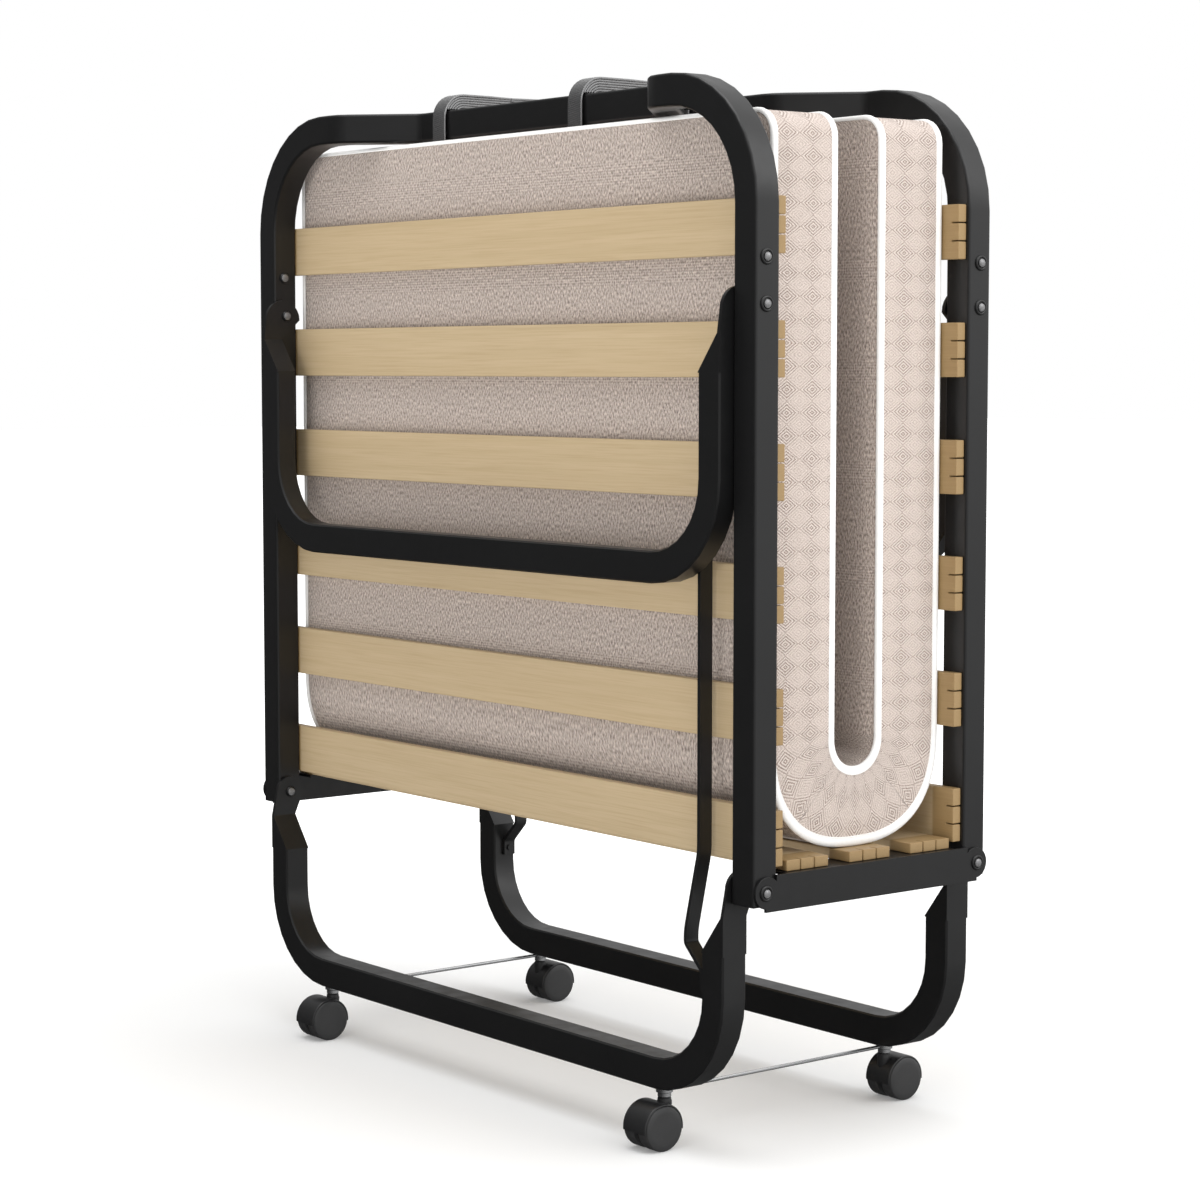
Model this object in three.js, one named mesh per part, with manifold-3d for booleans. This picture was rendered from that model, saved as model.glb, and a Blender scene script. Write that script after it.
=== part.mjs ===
// Folding rollaway bed, shown folded upright on its casters.
//
// Frame: millimetres, +Z up, the origin on the floor under the middle of the folded bed.
// X runs across the bed (right is +X) and Y through its folded thickness (front is -Y).
// The back half is the front half turned 180 degrees about Z.

import * as THREE from 'three';
import { mergeVertices } from 'three/addons/utils/BufferGeometryUtils.js';
import Module from 'manifold-3d';

const wasm = await Module();
wasm.setup();

// ---- Driving dimensions -------------------------------------------------------------------

const GAP = 0.3; // clearance between pieces that touch
const OVERSHOOT = 5; // how far a cutting tool passes through what it cuts
const JOINT_OVERLAP = 1; // how far parts of one piece run into each other before they're merged
const HOLE_SEGMENTS = 10;
const EAR_SEGMENTS = 24;
const CASTER_SEGMENTS = 24;
const BEND_STEP = 1.75; // larger makes coarser bends
const TUBE_CHAMFER = 1.7;
const WALL = 1.5; // wall of the steel tubes

const BED_WIDTH = 880; // over the deck frames
const FOLDED_DEPTH = 310; // over the deck frames
const DECK_TOP = 1053; // top of the deck frames
const DECK_BOTTOM = 259; // cut ends of the deck frames
const TUBE_WIDTH = 32; // every tube, in the plane of its bend
const TUBE_DEPTH = 30; // deck and wheel frame tube, across that plane
const DECK_CORNER = 112; // centreline radius of the deck corners
const BOW_DEPTH = 68; // how far the middle of the top rail is set in
const BOW_OUTER = 283; // half length over the bow's outer bends
const BOW_INNER = 213; // half length over the bow's inner bends
const BOW_BEND = 26; // centreline radius of those four bends

const HINGE_Y = 141.5; // deck hinges, from the middle of the bed
const HINGE_Z = 272.5;

const SLAT_LENGTH = 872;
const SLAT_WIDTH = 54;
const SLAT_THICKNESS = 10.6;
const SLAT_PITCH = 116.5;
const TOP_SLAT_Z = 904.5; // middle of the uppermost slat
const SLATS_PER_DECK = 6;
const CENTRE_SLATS = 3;
const CENTRE_SLAT_PITCH = 82;
const SAW_CUT_WIDTH = 1.2; // two saw cuts in each slat end
const SAW_CUT_LENGTH = 10;

const RAIL_PLATE = 3; // thickness of the centre rails
const RAIL_FOOT = 18.5; // bottom of the plate below the hinges
const RAIL_EAR = 15.5; // radius of the rounded hinge ears
const RAIL_EAR_SET = 2; // the ears are centred this far inward of the hinges
const RAIL_FLANGE = 36; // width of the flange under the centre slats
const RAIL_FLANGE_HALF = 113; // half length of that flange
const RAIL_TOP = 16.5; // top of the flange above the hinges
const RAIL_STEP = 128; // half length of the plate at its full height

const EAR_PLATE = 4; // tube ends pressed flat
const EAR_REACH = 18; // how far the ears reach above their hinges
const WHEEL_EAR_RADIUS = 18;
const LEG_EAR_RADIUS = 22.5;
const EAR_FLAT = 27; // hinge down to the end of the flat
const EAR_TAPER = 63.5; // hinge down to the start of the full tube
const LEG_CORNER = 88; // centreline radius of the leg corners

const WHEEL_FRAME_Y = 150; // middle of the wheel frame tube
const WHEEL_FRAME_BOTTOM = 60;

const LEG_DEPTH = 24; // end leg tube, across the plane of its bend
const LEG_Y = 159.5; // middle of the end leg tube
const LEG_HINGE_Z = 830;
const LEG_BOTTOM = 561;
const STOP_RIVET_Z = 874;
const DRAIN_RADIUS = 3; // paint drain hole in the end leg

const LINK_PIN_Y = 155;
const LINK_PIN_DROP = 92.5; // link pins below the hinges they mirror
const LINK_WIDTH = 15.5;
const LINK_PLATE = 4;
const LINK_X = 348.5; // where the long run of the bar lies
const LINK_RUN_Y = 138.4;
const LINK_STUD = 4; // radius of the studs on the bar's ends
const LINK_TAB = 9; // half length of the flat round each stud
const LINK_JOGGLE = 33; // lower stud to the end of the joggle inward
const LINK_LEAN_START = 45;
const LINK_LEAN_END = 120; // lower stud to where the long run begins
const LINK_SLANT = 122; // upper stud to where it ends
const LINK_JOGGLE_BEND = 6; // centreline radii
const LINK_LEAN_BEND = 60;

const RIVET_SHANK = 4;
const RIVET_HEAD = 6.2;
const RIVET_DOME = 3.4; // height of the rivet heads
const RIVET_HOLE = RIVET_SHANK + GAP;

const CASTER_X = 302;
const CASTER_TRAIL = 14.5; // wheel axle outward from the stem
const WHEEL_RADIUS = 22.8;
const WHEEL_INNER = 3.9; // inner faces of the twin wheels, from the middle
const WHEEL_OUTER = 18.8;
const WHEEL_ROUND = 1.6; // how far the wheels' edges are rounded
const AXLE_RADIUS = 4;
const HOOD_RADIUS = 24.8;
const HOOD_SHELL = 1.6;
const HOOD_HALF_WIDTH = 17.6;
const HOOD_HUB = 6.7; // radius of the hub round the stem
const HOOD_HUB_FOOT = 2; // measured from the axle
const HOOD_HUB_TOP = 27;
const HOOD_DIP = 0.12; // angle by which the hood reaches below the axle, in radians
const HOOD_BOSS = 4; // web left round the axle
const HOOD_WEB_GAP = 0.7; // clearance between the web and each wheel
const STEM_RADIUS = 4;
const STEM_PIN = 2; // radius of its lower end, which stands in the web between the wheels
const STEM_SHOULDER = 44.8; // where that pin begins, above the floor
const STEM_TOP = 86;
const STEM_FOOT = 38;
const COLLAR_RADIUS = 6.8;

const ROD_Z = 57; // spacer rods between the caster stems
const ROD_RADIUS = 2;
const ROD_EYE = 8.5;

const PAD_HALF_WIDTH = 414;
const PAD_OUTER_Y = 113;
const PAD_INNER_Y = 29;
const PAD_TOP = 1013;
const PAD_SPLIT_Z = 410; // the panels ride on the decks, the bend stays in the middle
const PAD_BOTTOM = 300.6;
const PAD_BEND_INNER_Z = 379;
const PAD_OUTER_RADIUS = 84;
const PAD_CORNER = 24; // radius of the mattress's corners, seen from above when unfolded
const PAD_SEGMENTS = 4;

const STRAP_WIDTH = 23;
const STRAP_THICKNESS = 2.6;
const STRAP_POSITIONS = [-165, 80.5];
const STRAP_REACH = 90.6; // middle of the webbing in front of the rail
const STRAP_TOP = 1070.5;
const STRAP_CURVE = 26;
const STRAP_LOW = 1018;
const STRAP_HOOK_BEND = 2.4;
const STRAP_HOOK_GAP = 3.2; // middle of the webbing behind the rail
const STRAP_HOOK_END = 9; // the hook's end, below the top of the rail
const STRAP_PACK_INSET = 0.7; // the packed turns are this much narrower on each side
const STRAP_SEGMENTS = 5;

// ---- Places that follow from them ----------------------------------------------------------

const deckTubeY = FOLDED_DEPTH / 2 - TUBE_DEPTH / 2;
const postInner = BED_WIDTH / 2 - TUBE_WIDTH;
const slatFace = FOLDED_DEPTH / 2 - TUBE_DEPTH; // where slats meet the posts
const deckFloor = HINGE_Z + HINGE_Y - slatFace; // where slats meet the tubes once unfolded
const earOuter = postInner - GAP;
const earInner = earOuter - EAR_PLATE;
const legTubeX = earOuter - TUBE_WIDTH / 2;
const legInner = earOuter - TUBE_WIDTH;
const railInner = BED_WIDTH / 2 + GAP;
const railOuter = railInner + RAIL_PLATE;

// ---- Materials ------------------------------------------------------------------------------

const paintedSteel = new THREE.MeshStandardMaterial({ color: 0x1b1b1c, roughness: 0.42, metalness: 0.35 });
const rivetSteel = new THREE.MeshStandardMaterial({ color: 0x2c2c2e, roughness: 0.35, metalness: 0.7 });
const brightSteel = new THREE.MeshStandardMaterial({ color: 0xc4c6c8, roughness: 0.28, metalness: 1 });
const slatWood = new THREE.MeshStandardMaterial({ color: 0xc9ab78, roughness: 0.62, metalness: 0 });
const blackPlastic = new THREE.MeshStandardMaterial({ color: 0x29292a, roughness: 0.5, metalness: 0 });
const wheelPlastic = new THREE.MeshStandardMaterial({ color: 0x343435, roughness: 0.55, metalness: 0 });
const tickingFabric = new THREE.MeshStandardMaterial({ color: 0xc2aca0, roughness: 0.95, metalness: 0 });
const webbing = new THREE.MeshStandardMaterial({ color: 0x232324, roughness: 0.8, metalness: 0 });

// ---- Helpers --------------------------------------------------------------------------------

function solid(geometry) {
  const plain = geometry.clone();
  plain.deleteAttribute('normal');
  plain.deleteAttribute('uv');
  const merged = mergeVertices(plain, 1e-4);
  const mesh = new wasm.Mesh({
    numProp: 3,
    vertProperties: new Float32Array(merged.attributes.position.array),
    triVerts: new Uint32Array(merged.index.array),
  });
  return new wasm.Manifold(mesh);
}

function geometryOf(manifold) {
  const mesh = manifold.getMesh();
  const geometry = new THREE.BufferGeometry();
  geometry.setAttribute('position', new THREE.BufferAttribute(mesh.vertProperties, 3));
  geometry.setIndex(new THREE.BufferAttribute(mesh.triVerts, 1));
  return geometry;
}

function piece(parent, name, geometry, material) {
  const mesh = new THREE.Mesh(geometry, material);
  mesh.name = name;
  parent.add(mesh);
  return mesh;
}

function box(x0, x1, y0, y1, z0, z1) {
  const geometry = new THREE.BoxGeometry(x1 - x0, y1 - y0, z1 - z0);
  geometry.translate((x0 + x1) / 2, (y0 + y1) / 2, (z0 + z1) / 2);
  return geometry;
}

// A cylinder along X, Y or Z between two coordinates on that axis.
function cylinder(axis, radius, from, to, centre, segments = HOLE_SEGMENTS) {
  const geometry = new THREE.CylinderGeometry(radius, radius, to - from, segments);
  if (axis === 'x') geometry.rotateZ(-Math.PI / 2);
  if (axis === 'z') geometry.rotateX(Math.PI / 2);
  const middle = (from + to) / 2;
  if (axis === 'x') geometry.translate(middle, centre[0], centre[1]);
  if (axis === 'y') geometry.translate(centre[0], middle, centre[1]);
  if (axis === 'z') geometry.translate(centre[0], centre[1], middle);
  return geometry;
}

// A flat outline given as (y, z), made into a plate between two values of X.
function plateAcrossX(shape, x0, x1, curveSegments) {
  const geometry = new THREE.ExtrudeGeometry(shape, { depth: x1 - x0, bevelEnabled: false, curveSegments });
  // The shape's x becomes Y, its y becomes Z and its depth becomes X.
  geometry.applyMatrix4(new THREE.Matrix4().set(0, 0, 1, x0, 1, 0, 0, 0, 0, 1, 0, 0, 0, 0, 0, 1));
  return geometry;
}

// A route of straight runs whose corners are rounded; the extrusion steps fall on its knots.
class BentRoute extends THREE.Curve {
  constructor(corners, radii) {
    super();
    this.knots = [corners[0]];
    for (let i = 1; i < corners.length - 1; i += 1) {
      this.knots.push(...bend(corners[i - 1], corners[i], corners[i + 1], radii[i - 1]));
    }
    this.knots.push(corners[corners.length - 1]);
  }

  get steps() {
    return this.knots.length - 1;
  }

  getPoint(t, target = new THREE.Vector3()) {
    const place = Math.min(Math.max(t, 0), 1) * this.steps;
    const index = Math.min(Math.floor(place), this.steps - 1);
    return target.lerpVectors(this.knots[index], this.knots[index + 1], place - index);
  }

  getTangent(t, target = new THREE.Vector3()) {
    const index = Math.round(t * this.steps);
    target.set(0, 0, 0);
    for (const start of [index - 1, index]) {
      if (start < 0 || start >= this.steps) continue;
      target.add(new THREE.Vector3().subVectors(this.knots[start + 1], this.knots[start]).normalize());
    }
    return target.normalize();
  }

  getUtoTmapping(u) {
    return u;
  }
}

// The points of one rounded corner, more of them where it is long.
function bend(before, corner, after, radius) {
  const incoming = new THREE.Vector3().subVectors(corner, before).normalize();
  const outgoing = new THREE.Vector3().subVectors(after, corner).normalize();
  const turn = incoming.angleTo(outgoing);
  const steps = Math.max(2, Math.round((turn * Math.sqrt(radius)) / BEND_STEP));
  const reach = radius * Math.tan(turn / 2);
  const inward = new THREE.Vector3().subVectors(outgoing, incoming).normalize();
  const centre = corner.clone().addScaledVector(inward, radius / Math.cos(turn / 2));
  const first = corner.clone().addScaledVector(incoming, -reach).sub(centre);
  const axis = new THREE.Vector3().crossVectors(incoming, outgoing).normalize();
  const points = [];
  for (let i = 0; i <= steps; i += 1) {
    points.push(first.clone().applyAxisAngle(axis, (turn * i) / steps).add(centre));
  }
  return points;
}

// A rectangle with cut corners: depth runs across the plane of the bend, width in it.
function section(depth, width) {
  const chamfer = TUBE_CHAMFER;
  const x = depth / 2;
  const y = width / 2;
  const shape = new THREE.Shape();
  shape.moveTo(-x + chamfer, -y);
  shape.lineTo(x - chamfer, -y);
  shape.lineTo(x, -y + chamfer);
  shape.lineTo(x, y - chamfer);
  shape.lineTo(x - chamfer, y);
  shape.lineTo(-x + chamfer, y);
  shape.lineTo(-x, y - chamfer);
  shape.lineTo(-x, -y + chamfer);
  return shape;
}

function rectangle(PathType, depth, width) {
  const path = new PathType();
  path.moveTo(-depth / 2, -width / 2);
  path.lineTo(depth / 2, -width / 2);
  path.lineTo(depth / 2, width / 2);
  path.lineTo(-depth / 2, width / 2);
  path.closePath();
  return path;
}

function sweep(shape, route) {
  return new THREE.ExtrudeGeometry(shape, { steps: route.steps, extrudePath: route, bevelEnabled: false });
}

// A profile of (radius, height) turned about Y.
function turned(profile) {
  return new THREE.LatheGeometry(profile.map(([r, h]) => new THREE.Vector2(r, h)), HOLE_SEGMENTS);
}

// A rivet along X with a domed head at each end, from inner to outer, its axis at (y, z).
function rivet(inner, outer, y, z) {
  const shoulder = RIVET_HEAD * Math.cos(Math.PI / 4);
  const rise = RIVET_DOME * Math.sin(Math.PI / 4);
  const profile = [
    [0, inner - RIVET_DOME],
    [shoulder, inner - rise],
    [RIVET_HEAD, inner],
    [RIVET_SHANK, inner],
    [RIVET_SHANK, outer],
    [RIVET_HEAD, outer],
    [shoulder, outer + rise],
    [0, outer + RIVET_DOME],
  ];
  const geometry = turned(profile);
  geometry.rotateZ(-Math.PI / 2);
  geometry.translate(0, y, z);
  return geometry;
}

// The same rivet on the left (side -1) or the right (side 1).
function sidedRivet(side, inner, outer, y, z) {
  return side > 0 ? rivet(inner, outer, y, z) : rivet(-outer, -inner, y, z);
}

// ---- Deck frames, slats and centre rails ------------------------------------------------------

// One bent tube: two posts, rounded corners and a top rail whose middle is set in.
function deckFrame() {
  const y = -deckTubeY;
  const x = BED_WIDTH / 2 - TUBE_WIDTH / 2;
  const z = DECK_TOP - TUBE_WIDTH / 2;
  const corners = [
    new THREE.Vector3(-x, y, DECK_BOTTOM),
    new THREE.Vector3(-x, y, z),
    new THREE.Vector3(-BOW_OUTER, y, z),
    new THREE.Vector3(-BOW_INNER, y + BOW_DEPTH, z),
    new THREE.Vector3(BOW_INNER, y + BOW_DEPTH, z),
    new THREE.Vector3(BOW_OUTER, y, z),
    new THREE.Vector3(x, y, z),
    new THREE.Vector3(x, y, DECK_BOTTOM),
  ];
  const radii = [DECK_CORNER, BOW_BEND, BOW_BEND, BOW_BEND, BOW_BEND, DECK_CORNER];
  const outline = section(TUBE_DEPTH, TUBE_WIDTH);
  outline.holes.push(rectangle(THREE.Path, TUBE_DEPTH - 2 * WALL, TUBE_WIDTH - 2 * WALL));
  let frame = solid(sweep(outline, new BentRoute(corners, radii)));
  for (const side of [-1, 1]) {
    for (const height of [HINGE_Z, LEG_HINGE_Z, STOP_RIVET_Z]) {
      const from = (side > 0 ? postInner : -BED_WIDTH / 2) - OVERSHOOT;
      const to = from + TUBE_WIDTH + 2 * OVERSHOOT;
      frame = frame.subtract(solid(cylinder('x', RIVET_HOLE, from, to, [-HINGE_Y, height])));
    }
  }
  return geometryOf(frame);
}

// A flat slat along X, lying in the XY plane, with two saw cuts in each end.
function slat() {
  const x = SLAT_LENGTH / 2;
  const y = SLAT_WIDTH / 2;
  const cut = SAW_CUT_WIDTH / 2;
  const shape = new THREE.Shape();
  shape.moveTo(-x, -y);
  shape.lineTo(x, -y);
  for (const middle of [-y / 3, y / 3]) {
    shape.lineTo(x, middle - cut);
    shape.lineTo(x - SAW_CUT_LENGTH, middle - cut);
    shape.lineTo(x - SAW_CUT_LENGTH, middle + cut);
    shape.lineTo(x, middle + cut);
  }
  shape.lineTo(x, y);
  shape.lineTo(-x, y);
  for (const middle of [y / 3, -y / 3]) {
    shape.lineTo(-x, middle + cut);
    shape.lineTo(-x + SAW_CUT_LENGTH, middle + cut);
    shape.lineTo(-x + SAW_CUT_LENGTH, middle - cut);
    shape.lineTo(-x, middle - cut);
  }
  return new THREE.ExtrudeGeometry(shape, { depth: SLAT_THICKNESS, bevelEnabled: false });
}

// An angle whose upright plate ends in two round hinge ears, with a flange under the slats.
function centreRail(side) {
  const top = HINGE_Z + RAIL_TOP;
  const bottom = HINGE_Z - RAIL_FOOT;
  const [x0, x1] = side > 0 ? [railInner, railOuter] : [-railOuter, -railInner];
  const [f0, f1] = side > 0 ? [railInner - RAIL_FLANGE, x1] : [x0, -railInner + RAIL_FLANGE];
  const bar = new THREE.Shape();
  bar.moveTo(-HINGE_Y, bottom);
  bar.lineTo(HINGE_Y, bottom);
  bar.lineTo(HINGE_Y, HINGE_Z);
  bar.lineTo(RAIL_STEP, HINGE_Z);
  bar.lineTo(RAIL_STEP, top);
  bar.lineTo(-RAIL_STEP, top);
  bar.lineTo(-RAIL_STEP, HINGE_Z);
  bar.lineTo(-HINGE_Y, HINGE_Z);
  let rail = solid(plateAcrossX(bar, x0, x1, 1));
  rail = rail.add(solid(box(f0, f1, -RAIL_FLANGE_HALF, RAIL_FLANGE_HALF, top - RAIL_PLATE, top)));
  for (const y of [-HINGE_Y, HINGE_Y]) {
    const middle = y - Math.sign(y) * RAIL_EAR_SET;
    rail = rail.add(solid(cylinder('x', RAIL_EAR, x0, x1, [middle, HINGE_Z], EAR_SEGMENTS)));
    rail = rail.subtract(solid(cylinder('x', RIVET_HOLE, x0 - OVERSHOOT, x1 + OVERSHOOT, [y, HINGE_Z])));
  }
  return geometryOf(rail);
}

// ---- Legs ---------------------------------------------------------------------------------------

// A U of tube whose ends are pressed flat into hinge ears on the outer side.
function legFrame({ hingeZ, bottom, tubeY, depth, earRadius }) {
  const x = legTubeX;
  const z = bottom + TUBE_WIDTH / 2;
  const taperZ = hingeZ - EAR_TAPER;
  const flatZ = hingeZ - EAR_FLAT;
  const front = -tubeY - depth / 2;
  const back = -tubeY + depth / 2;
  const corners = [
    new THREE.Vector3(-x, -tubeY, taperZ),
    new THREE.Vector3(-x, -tubeY, z),
    new THREE.Vector3(x, -tubeY, z),
    new THREE.Vector3(x, -tubeY, taperZ),
  ];
  const route = new BentRoute(corners, [LEG_CORNER, LEG_CORNER]);
  let leg = solid(sweep(section(depth, TUBE_WIDTH), route));
  const bore = rectangle(THREE.Shape, depth - 2 * WALL, TUBE_WIDTH - 2 * WALL);
  leg = leg.subtract(solid(sweep(bore, route)));
  for (const side of [-1, 1]) {
    const taper = new THREE.Shape();
    taper.moveTo(side * earOuter, taperZ - JOINT_OVERLAP);
    taper.lineTo(side * earOuter, flatZ);
    taper.lineTo(side * earInner, flatZ);
    taper.lineTo(side * legInner, taperZ);
    taper.lineTo(side * legInner, taperZ - JOINT_OVERLAP);
    const wedge = new THREE.ExtrudeGeometry(taper, { depth, bevelEnabled: false });
    wedge.applyMatrix4(new THREE.Matrix4().set(1, 0, 0, 0, 0, 0, -1, back, 0, 1, 0, 0, 0, 0, 0, 1));
    leg = leg.add(solid(wedge));
    leg = leg.add(solid(ear(side, earRadius, hingeZ, flatZ, front, back)));
    const from = (side > 0 ? earInner : -earOuter) - OVERSHOOT;
    const to = from + EAR_PLATE + 2 * OVERSHOOT;
    leg = leg.subtract(solid(cylinder('x', RIVET_HOLE, from, to, [-HINGE_Y, hingeZ])));
  }
  // The hole for the link bar's stud, in the inner wall on the right.
  const studZ = hingeZ - LINK_PIN_DROP;
  const studHole = LINK_STUD + GAP;
  const stud = cylinder('x', studHole, legInner - OVERSHOOT, legInner + OVERSHOOT, [-LINK_PIN_Y, studZ]);
  return leg.subtract(solid(stud));
}

// The flat ear: as wide as the tube where it meets the taper and round beyond the hinge. A larger
// radius is centred that much forward of the hinge and below it.
function ear(side, radius, hingeZ, flatZ, front, back) {
  const centreY = -HINGE_Y - (radius - EAR_REACH);
  const centreZ = hingeZ - (radius - EAR_REACH);
  const shape = new THREE.Shape();
  shape.moveTo(front, flatZ - JOINT_OVERLAP);
  shape.lineTo(back, flatZ - JOINT_OVERLAP);
  shape.lineTo(back, flatZ);
  shape.absarc(centreY, centreZ, radius, 0, Math.PI, false);
  shape.lineTo(front, flatZ);
  const [x0, x1] = side > 0 ? [earInner, earOuter] : [-earOuter, -earInner];
  return plateAcrossX(shape, x0, x1, EAR_SEGMENTS / 4);
}

function wheelFrame() {
  let frame = legFrame({
    hingeZ: HINGE_Z,
    bottom: WHEEL_FRAME_BOTTOM,
    tubeY: WHEEL_FRAME_Y,
    depth: TUBE_DEPTH,
    earRadius: WHEEL_EAR_RADIUS,
  });
  const from = WHEEL_FRAME_BOTTOM - OVERSHOOT;
  const to = WHEEL_FRAME_BOTTOM + OVERSHOOT;
  for (const x of [-CASTER_X, CASTER_X]) {
    frame = frame.subtract(solid(cylinder('z', STEM_RADIUS + GAP, from, to, [x, -WHEEL_FRAME_Y])));
  }
  return geometryOf(frame);
}

function endLeg() {
  const leg = legFrame({
    hingeZ: LEG_HINGE_Z,
    bottom: LEG_BOTTOM,
    tubeY: LEG_Y,
    depth: LEG_DEPTH,
    earRadius: LEG_EAR_RADIUS,
  });
  const drain = cylinder('z', DRAIN_RADIUS, LEG_BOTTOM - OVERSHOOT, LEG_BOTTOM + OVERSHOOT, [0, -LEG_Y]);
  return geometryOf(leg.subtract(solid(drain)));
}

// A flat bar that keeps the end leg upright: its ends lie against the legs' inner faces, and its
// long run is set in so that it passes behind the end leg's foot rail.
function linkBar() {
  const low = HINGE_Z - LINK_PIN_DROP;
  const high = LEG_HINGE_Z - LINK_PIN_DROP;
  const seat = legInner - GAP - LINK_PLATE / 2;
  const corners = [
    new THREE.Vector3(seat, -LINK_PIN_Y, low - LINK_TAB),
    new THREE.Vector3(seat, -LINK_PIN_Y, low + LINK_TAB),
    new THREE.Vector3(LINK_X, -LINK_PIN_Y, low + LINK_JOGGLE),
    new THREE.Vector3(LINK_X, -LINK_PIN_Y, low + LINK_LEAN_START),
    new THREE.Vector3(LINK_X, -LINK_RUN_Y, low + LINK_LEAN_END),
    new THREE.Vector3(LINK_X, -LINK_RUN_Y, high - LINK_SLANT),
    new THREE.Vector3(seat, -LINK_PIN_Y, high - LINK_TAB),
    new THREE.Vector3(seat, -LINK_PIN_Y, high + LINK_TAB),
  ];
  const lean = LINK_LEAN_BEND;
  const radii = [LINK_JOGGLE_BEND, LINK_JOGGLE_BEND, lean, lean, lean, lean / 2];
  const route = new BentRoute(corners, radii);
  let bar = solid(sweep(rectangle(THREE.Shape, LINK_WIDTH, LINK_PLATE), route));
  for (const z of [low, high]) {
    const to = legInner + 2 * WALL;
    bar = bar.add(solid(cylinder('x', LINK_STUD, seat - LINK_PLATE, to, [-LINK_PIN_Y, z])));
  }
  return geometryOf(bar);
}

// ---- Casters and spacer rods ---------------------------------------------------------------------

// The caster pieces are drawn about the wheel axle at the origin; the stem stands at +Y.
function casterHood() {
  const inner = HOOD_RADIUS - HOOD_SHELL;
  const from = -HOOD_DIP;
  const to = Math.PI + HOOD_DIP;
  const shell = new THREE.Shape();
  shell.absarc(0, 0, HOOD_RADIUS, from, to, false);
  shell.absarc(0, 0, inner, to, from, true);
  let hood = solid(plateAcrossX(shell, -HOOD_HALF_WIDTH, HOOD_HALF_WIDTH, CASTER_SEGMENTS / 4));
  const web = new THREE.Shape();
  web.absarc(0, 0, inner + JOINT_OVERLAP, from, to, false);
  web.absarc(0, 0, AXLE_RADIUS + HOOD_BOSS, Math.PI, 0, false);
  const webHalf = WHEEL_INNER - HOOD_WEB_GAP;
  hood = hood.add(solid(plateAcrossX(web, -webHalf, webHalf, CASTER_SEGMENTS / 4)));
  // The hub stands on the shell, clear of the drum that the wheels turn in.
  const hub = cylinder('z', HOOD_HUB, HOOD_HUB_FOOT, HOOD_HUB_TOP, [0, CASTER_TRAIL], CASTER_SEGMENTS);
  const drumRadius = HOOD_RADIUS - HOOD_SHELL / 2;
  const drum = cylinder('x', drumRadius, -HOOD_HALF_WIDTH, HOOD_HALF_WIDTH, [0, 0], 2 * CASTER_SEGMENTS);
  hood = hood.add(solid(hub).subtract(solid(drum)));
  const pinFloor = STEM_FOOT - WHEEL_RADIUS - GAP;
  const shoulder = STEM_SHOULDER - WHEEL_RADIUS - GAP;
  const top = HOOD_HUB_TOP + OVERSHOOT;
  const pinHole = cylinder('z', STEM_PIN + GAP, pinFloor, top, [0, CASTER_TRAIL]);
  const socket = cylinder('z', STEM_RADIUS + GAP, shoulder, top, [0, CASTER_TRAIL]);
  const axle = cylinder('x', AXLE_RADIUS + GAP, -WHEEL_OUTER, WHEEL_OUTER, [0, 0], CASTER_SEGMENTS);
  for (const hole of [pinHole, socket, axle]) {
    hood = hood.subtract(solid(hole));
  }
  return geometryOf(hood);
}

// Twin wheels on one axle.
function casterWheels() {
  const rim = WHEEL_RADIUS - WHEEL_ROUND;
  const half = [
    [AXLE_RADIUS, WHEEL_INNER],
    [rim, WHEEL_INNER],
    [WHEEL_RADIUS, WHEEL_INNER + WHEEL_ROUND],
    [WHEEL_RADIUS, WHEEL_OUTER - 2 * WHEEL_ROUND],
    [rim - WHEEL_ROUND, WHEEL_OUTER],
    [0, WHEEL_OUTER],
  ];
  const lower = half.map(([r, h]) => new THREE.Vector2(r, -h)).reverse();
  const upper = half.map(([r, h]) => new THREE.Vector2(r, h));
  const wheels = new THREE.LatheGeometry([...lower, ...upper], CASTER_SEGMENTS);
  wheels.rotateZ(-Math.PI / 2);
  return wheels;
}

// A pin with a collar, standing on the stem's own axis at z = 0 on the floor.
function casterStem() {
  const collarTop = ROD_Z - ROD_RADIUS - GAP;
  const collarFoot = WHEEL_RADIUS + HOOD_HUB_TOP + GAP;
  const profile = [
    [0, STEM_FOOT],
    [STEM_PIN, STEM_FOOT],
    [STEM_PIN, STEM_SHOULDER],
    [STEM_RADIUS, STEM_SHOULDER],
    [STEM_RADIUS, collarFoot],
    [COLLAR_RADIUS, collarFoot],
    [COLLAR_RADIUS, collarTop],
    [STEM_RADIUS, collarTop],
    [STEM_RADIUS, STEM_TOP],
    [0, STEM_TOP],
  ];
  const stem = turned(profile);
  stem.rotateX(Math.PI / 2);
  return stem;
}

// A wire rod with an eye round the caster stem at each end.
function spacerRod() {
  const reach = WHEEL_FRAME_Y - ROD_EYE + JOINT_OVERLAP;
  let rod = solid(cylinder('y', ROD_RADIUS, -reach, reach, [0, ROD_Z]));
  for (const y of [-WHEEL_FRAME_Y, WHEEL_FRAME_Y]) {
    const foot = ROD_Z - ROD_RADIUS;
    const top = ROD_Z + ROD_RADIUS;
    rod = rod.add(solid(cylinder('z', ROD_EYE, foot, top, [0, y], EAR_SEGMENTS)));
    rod = rod.subtract(solid(cylinder('z', STEM_RADIUS + GAP, foot - OVERSHOOT, top + OVERSHOOT, [0, y])));
  }
  return geometryOf(rod);
}

// ---- Mattress and straps --------------------------------------------------------------------------

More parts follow.
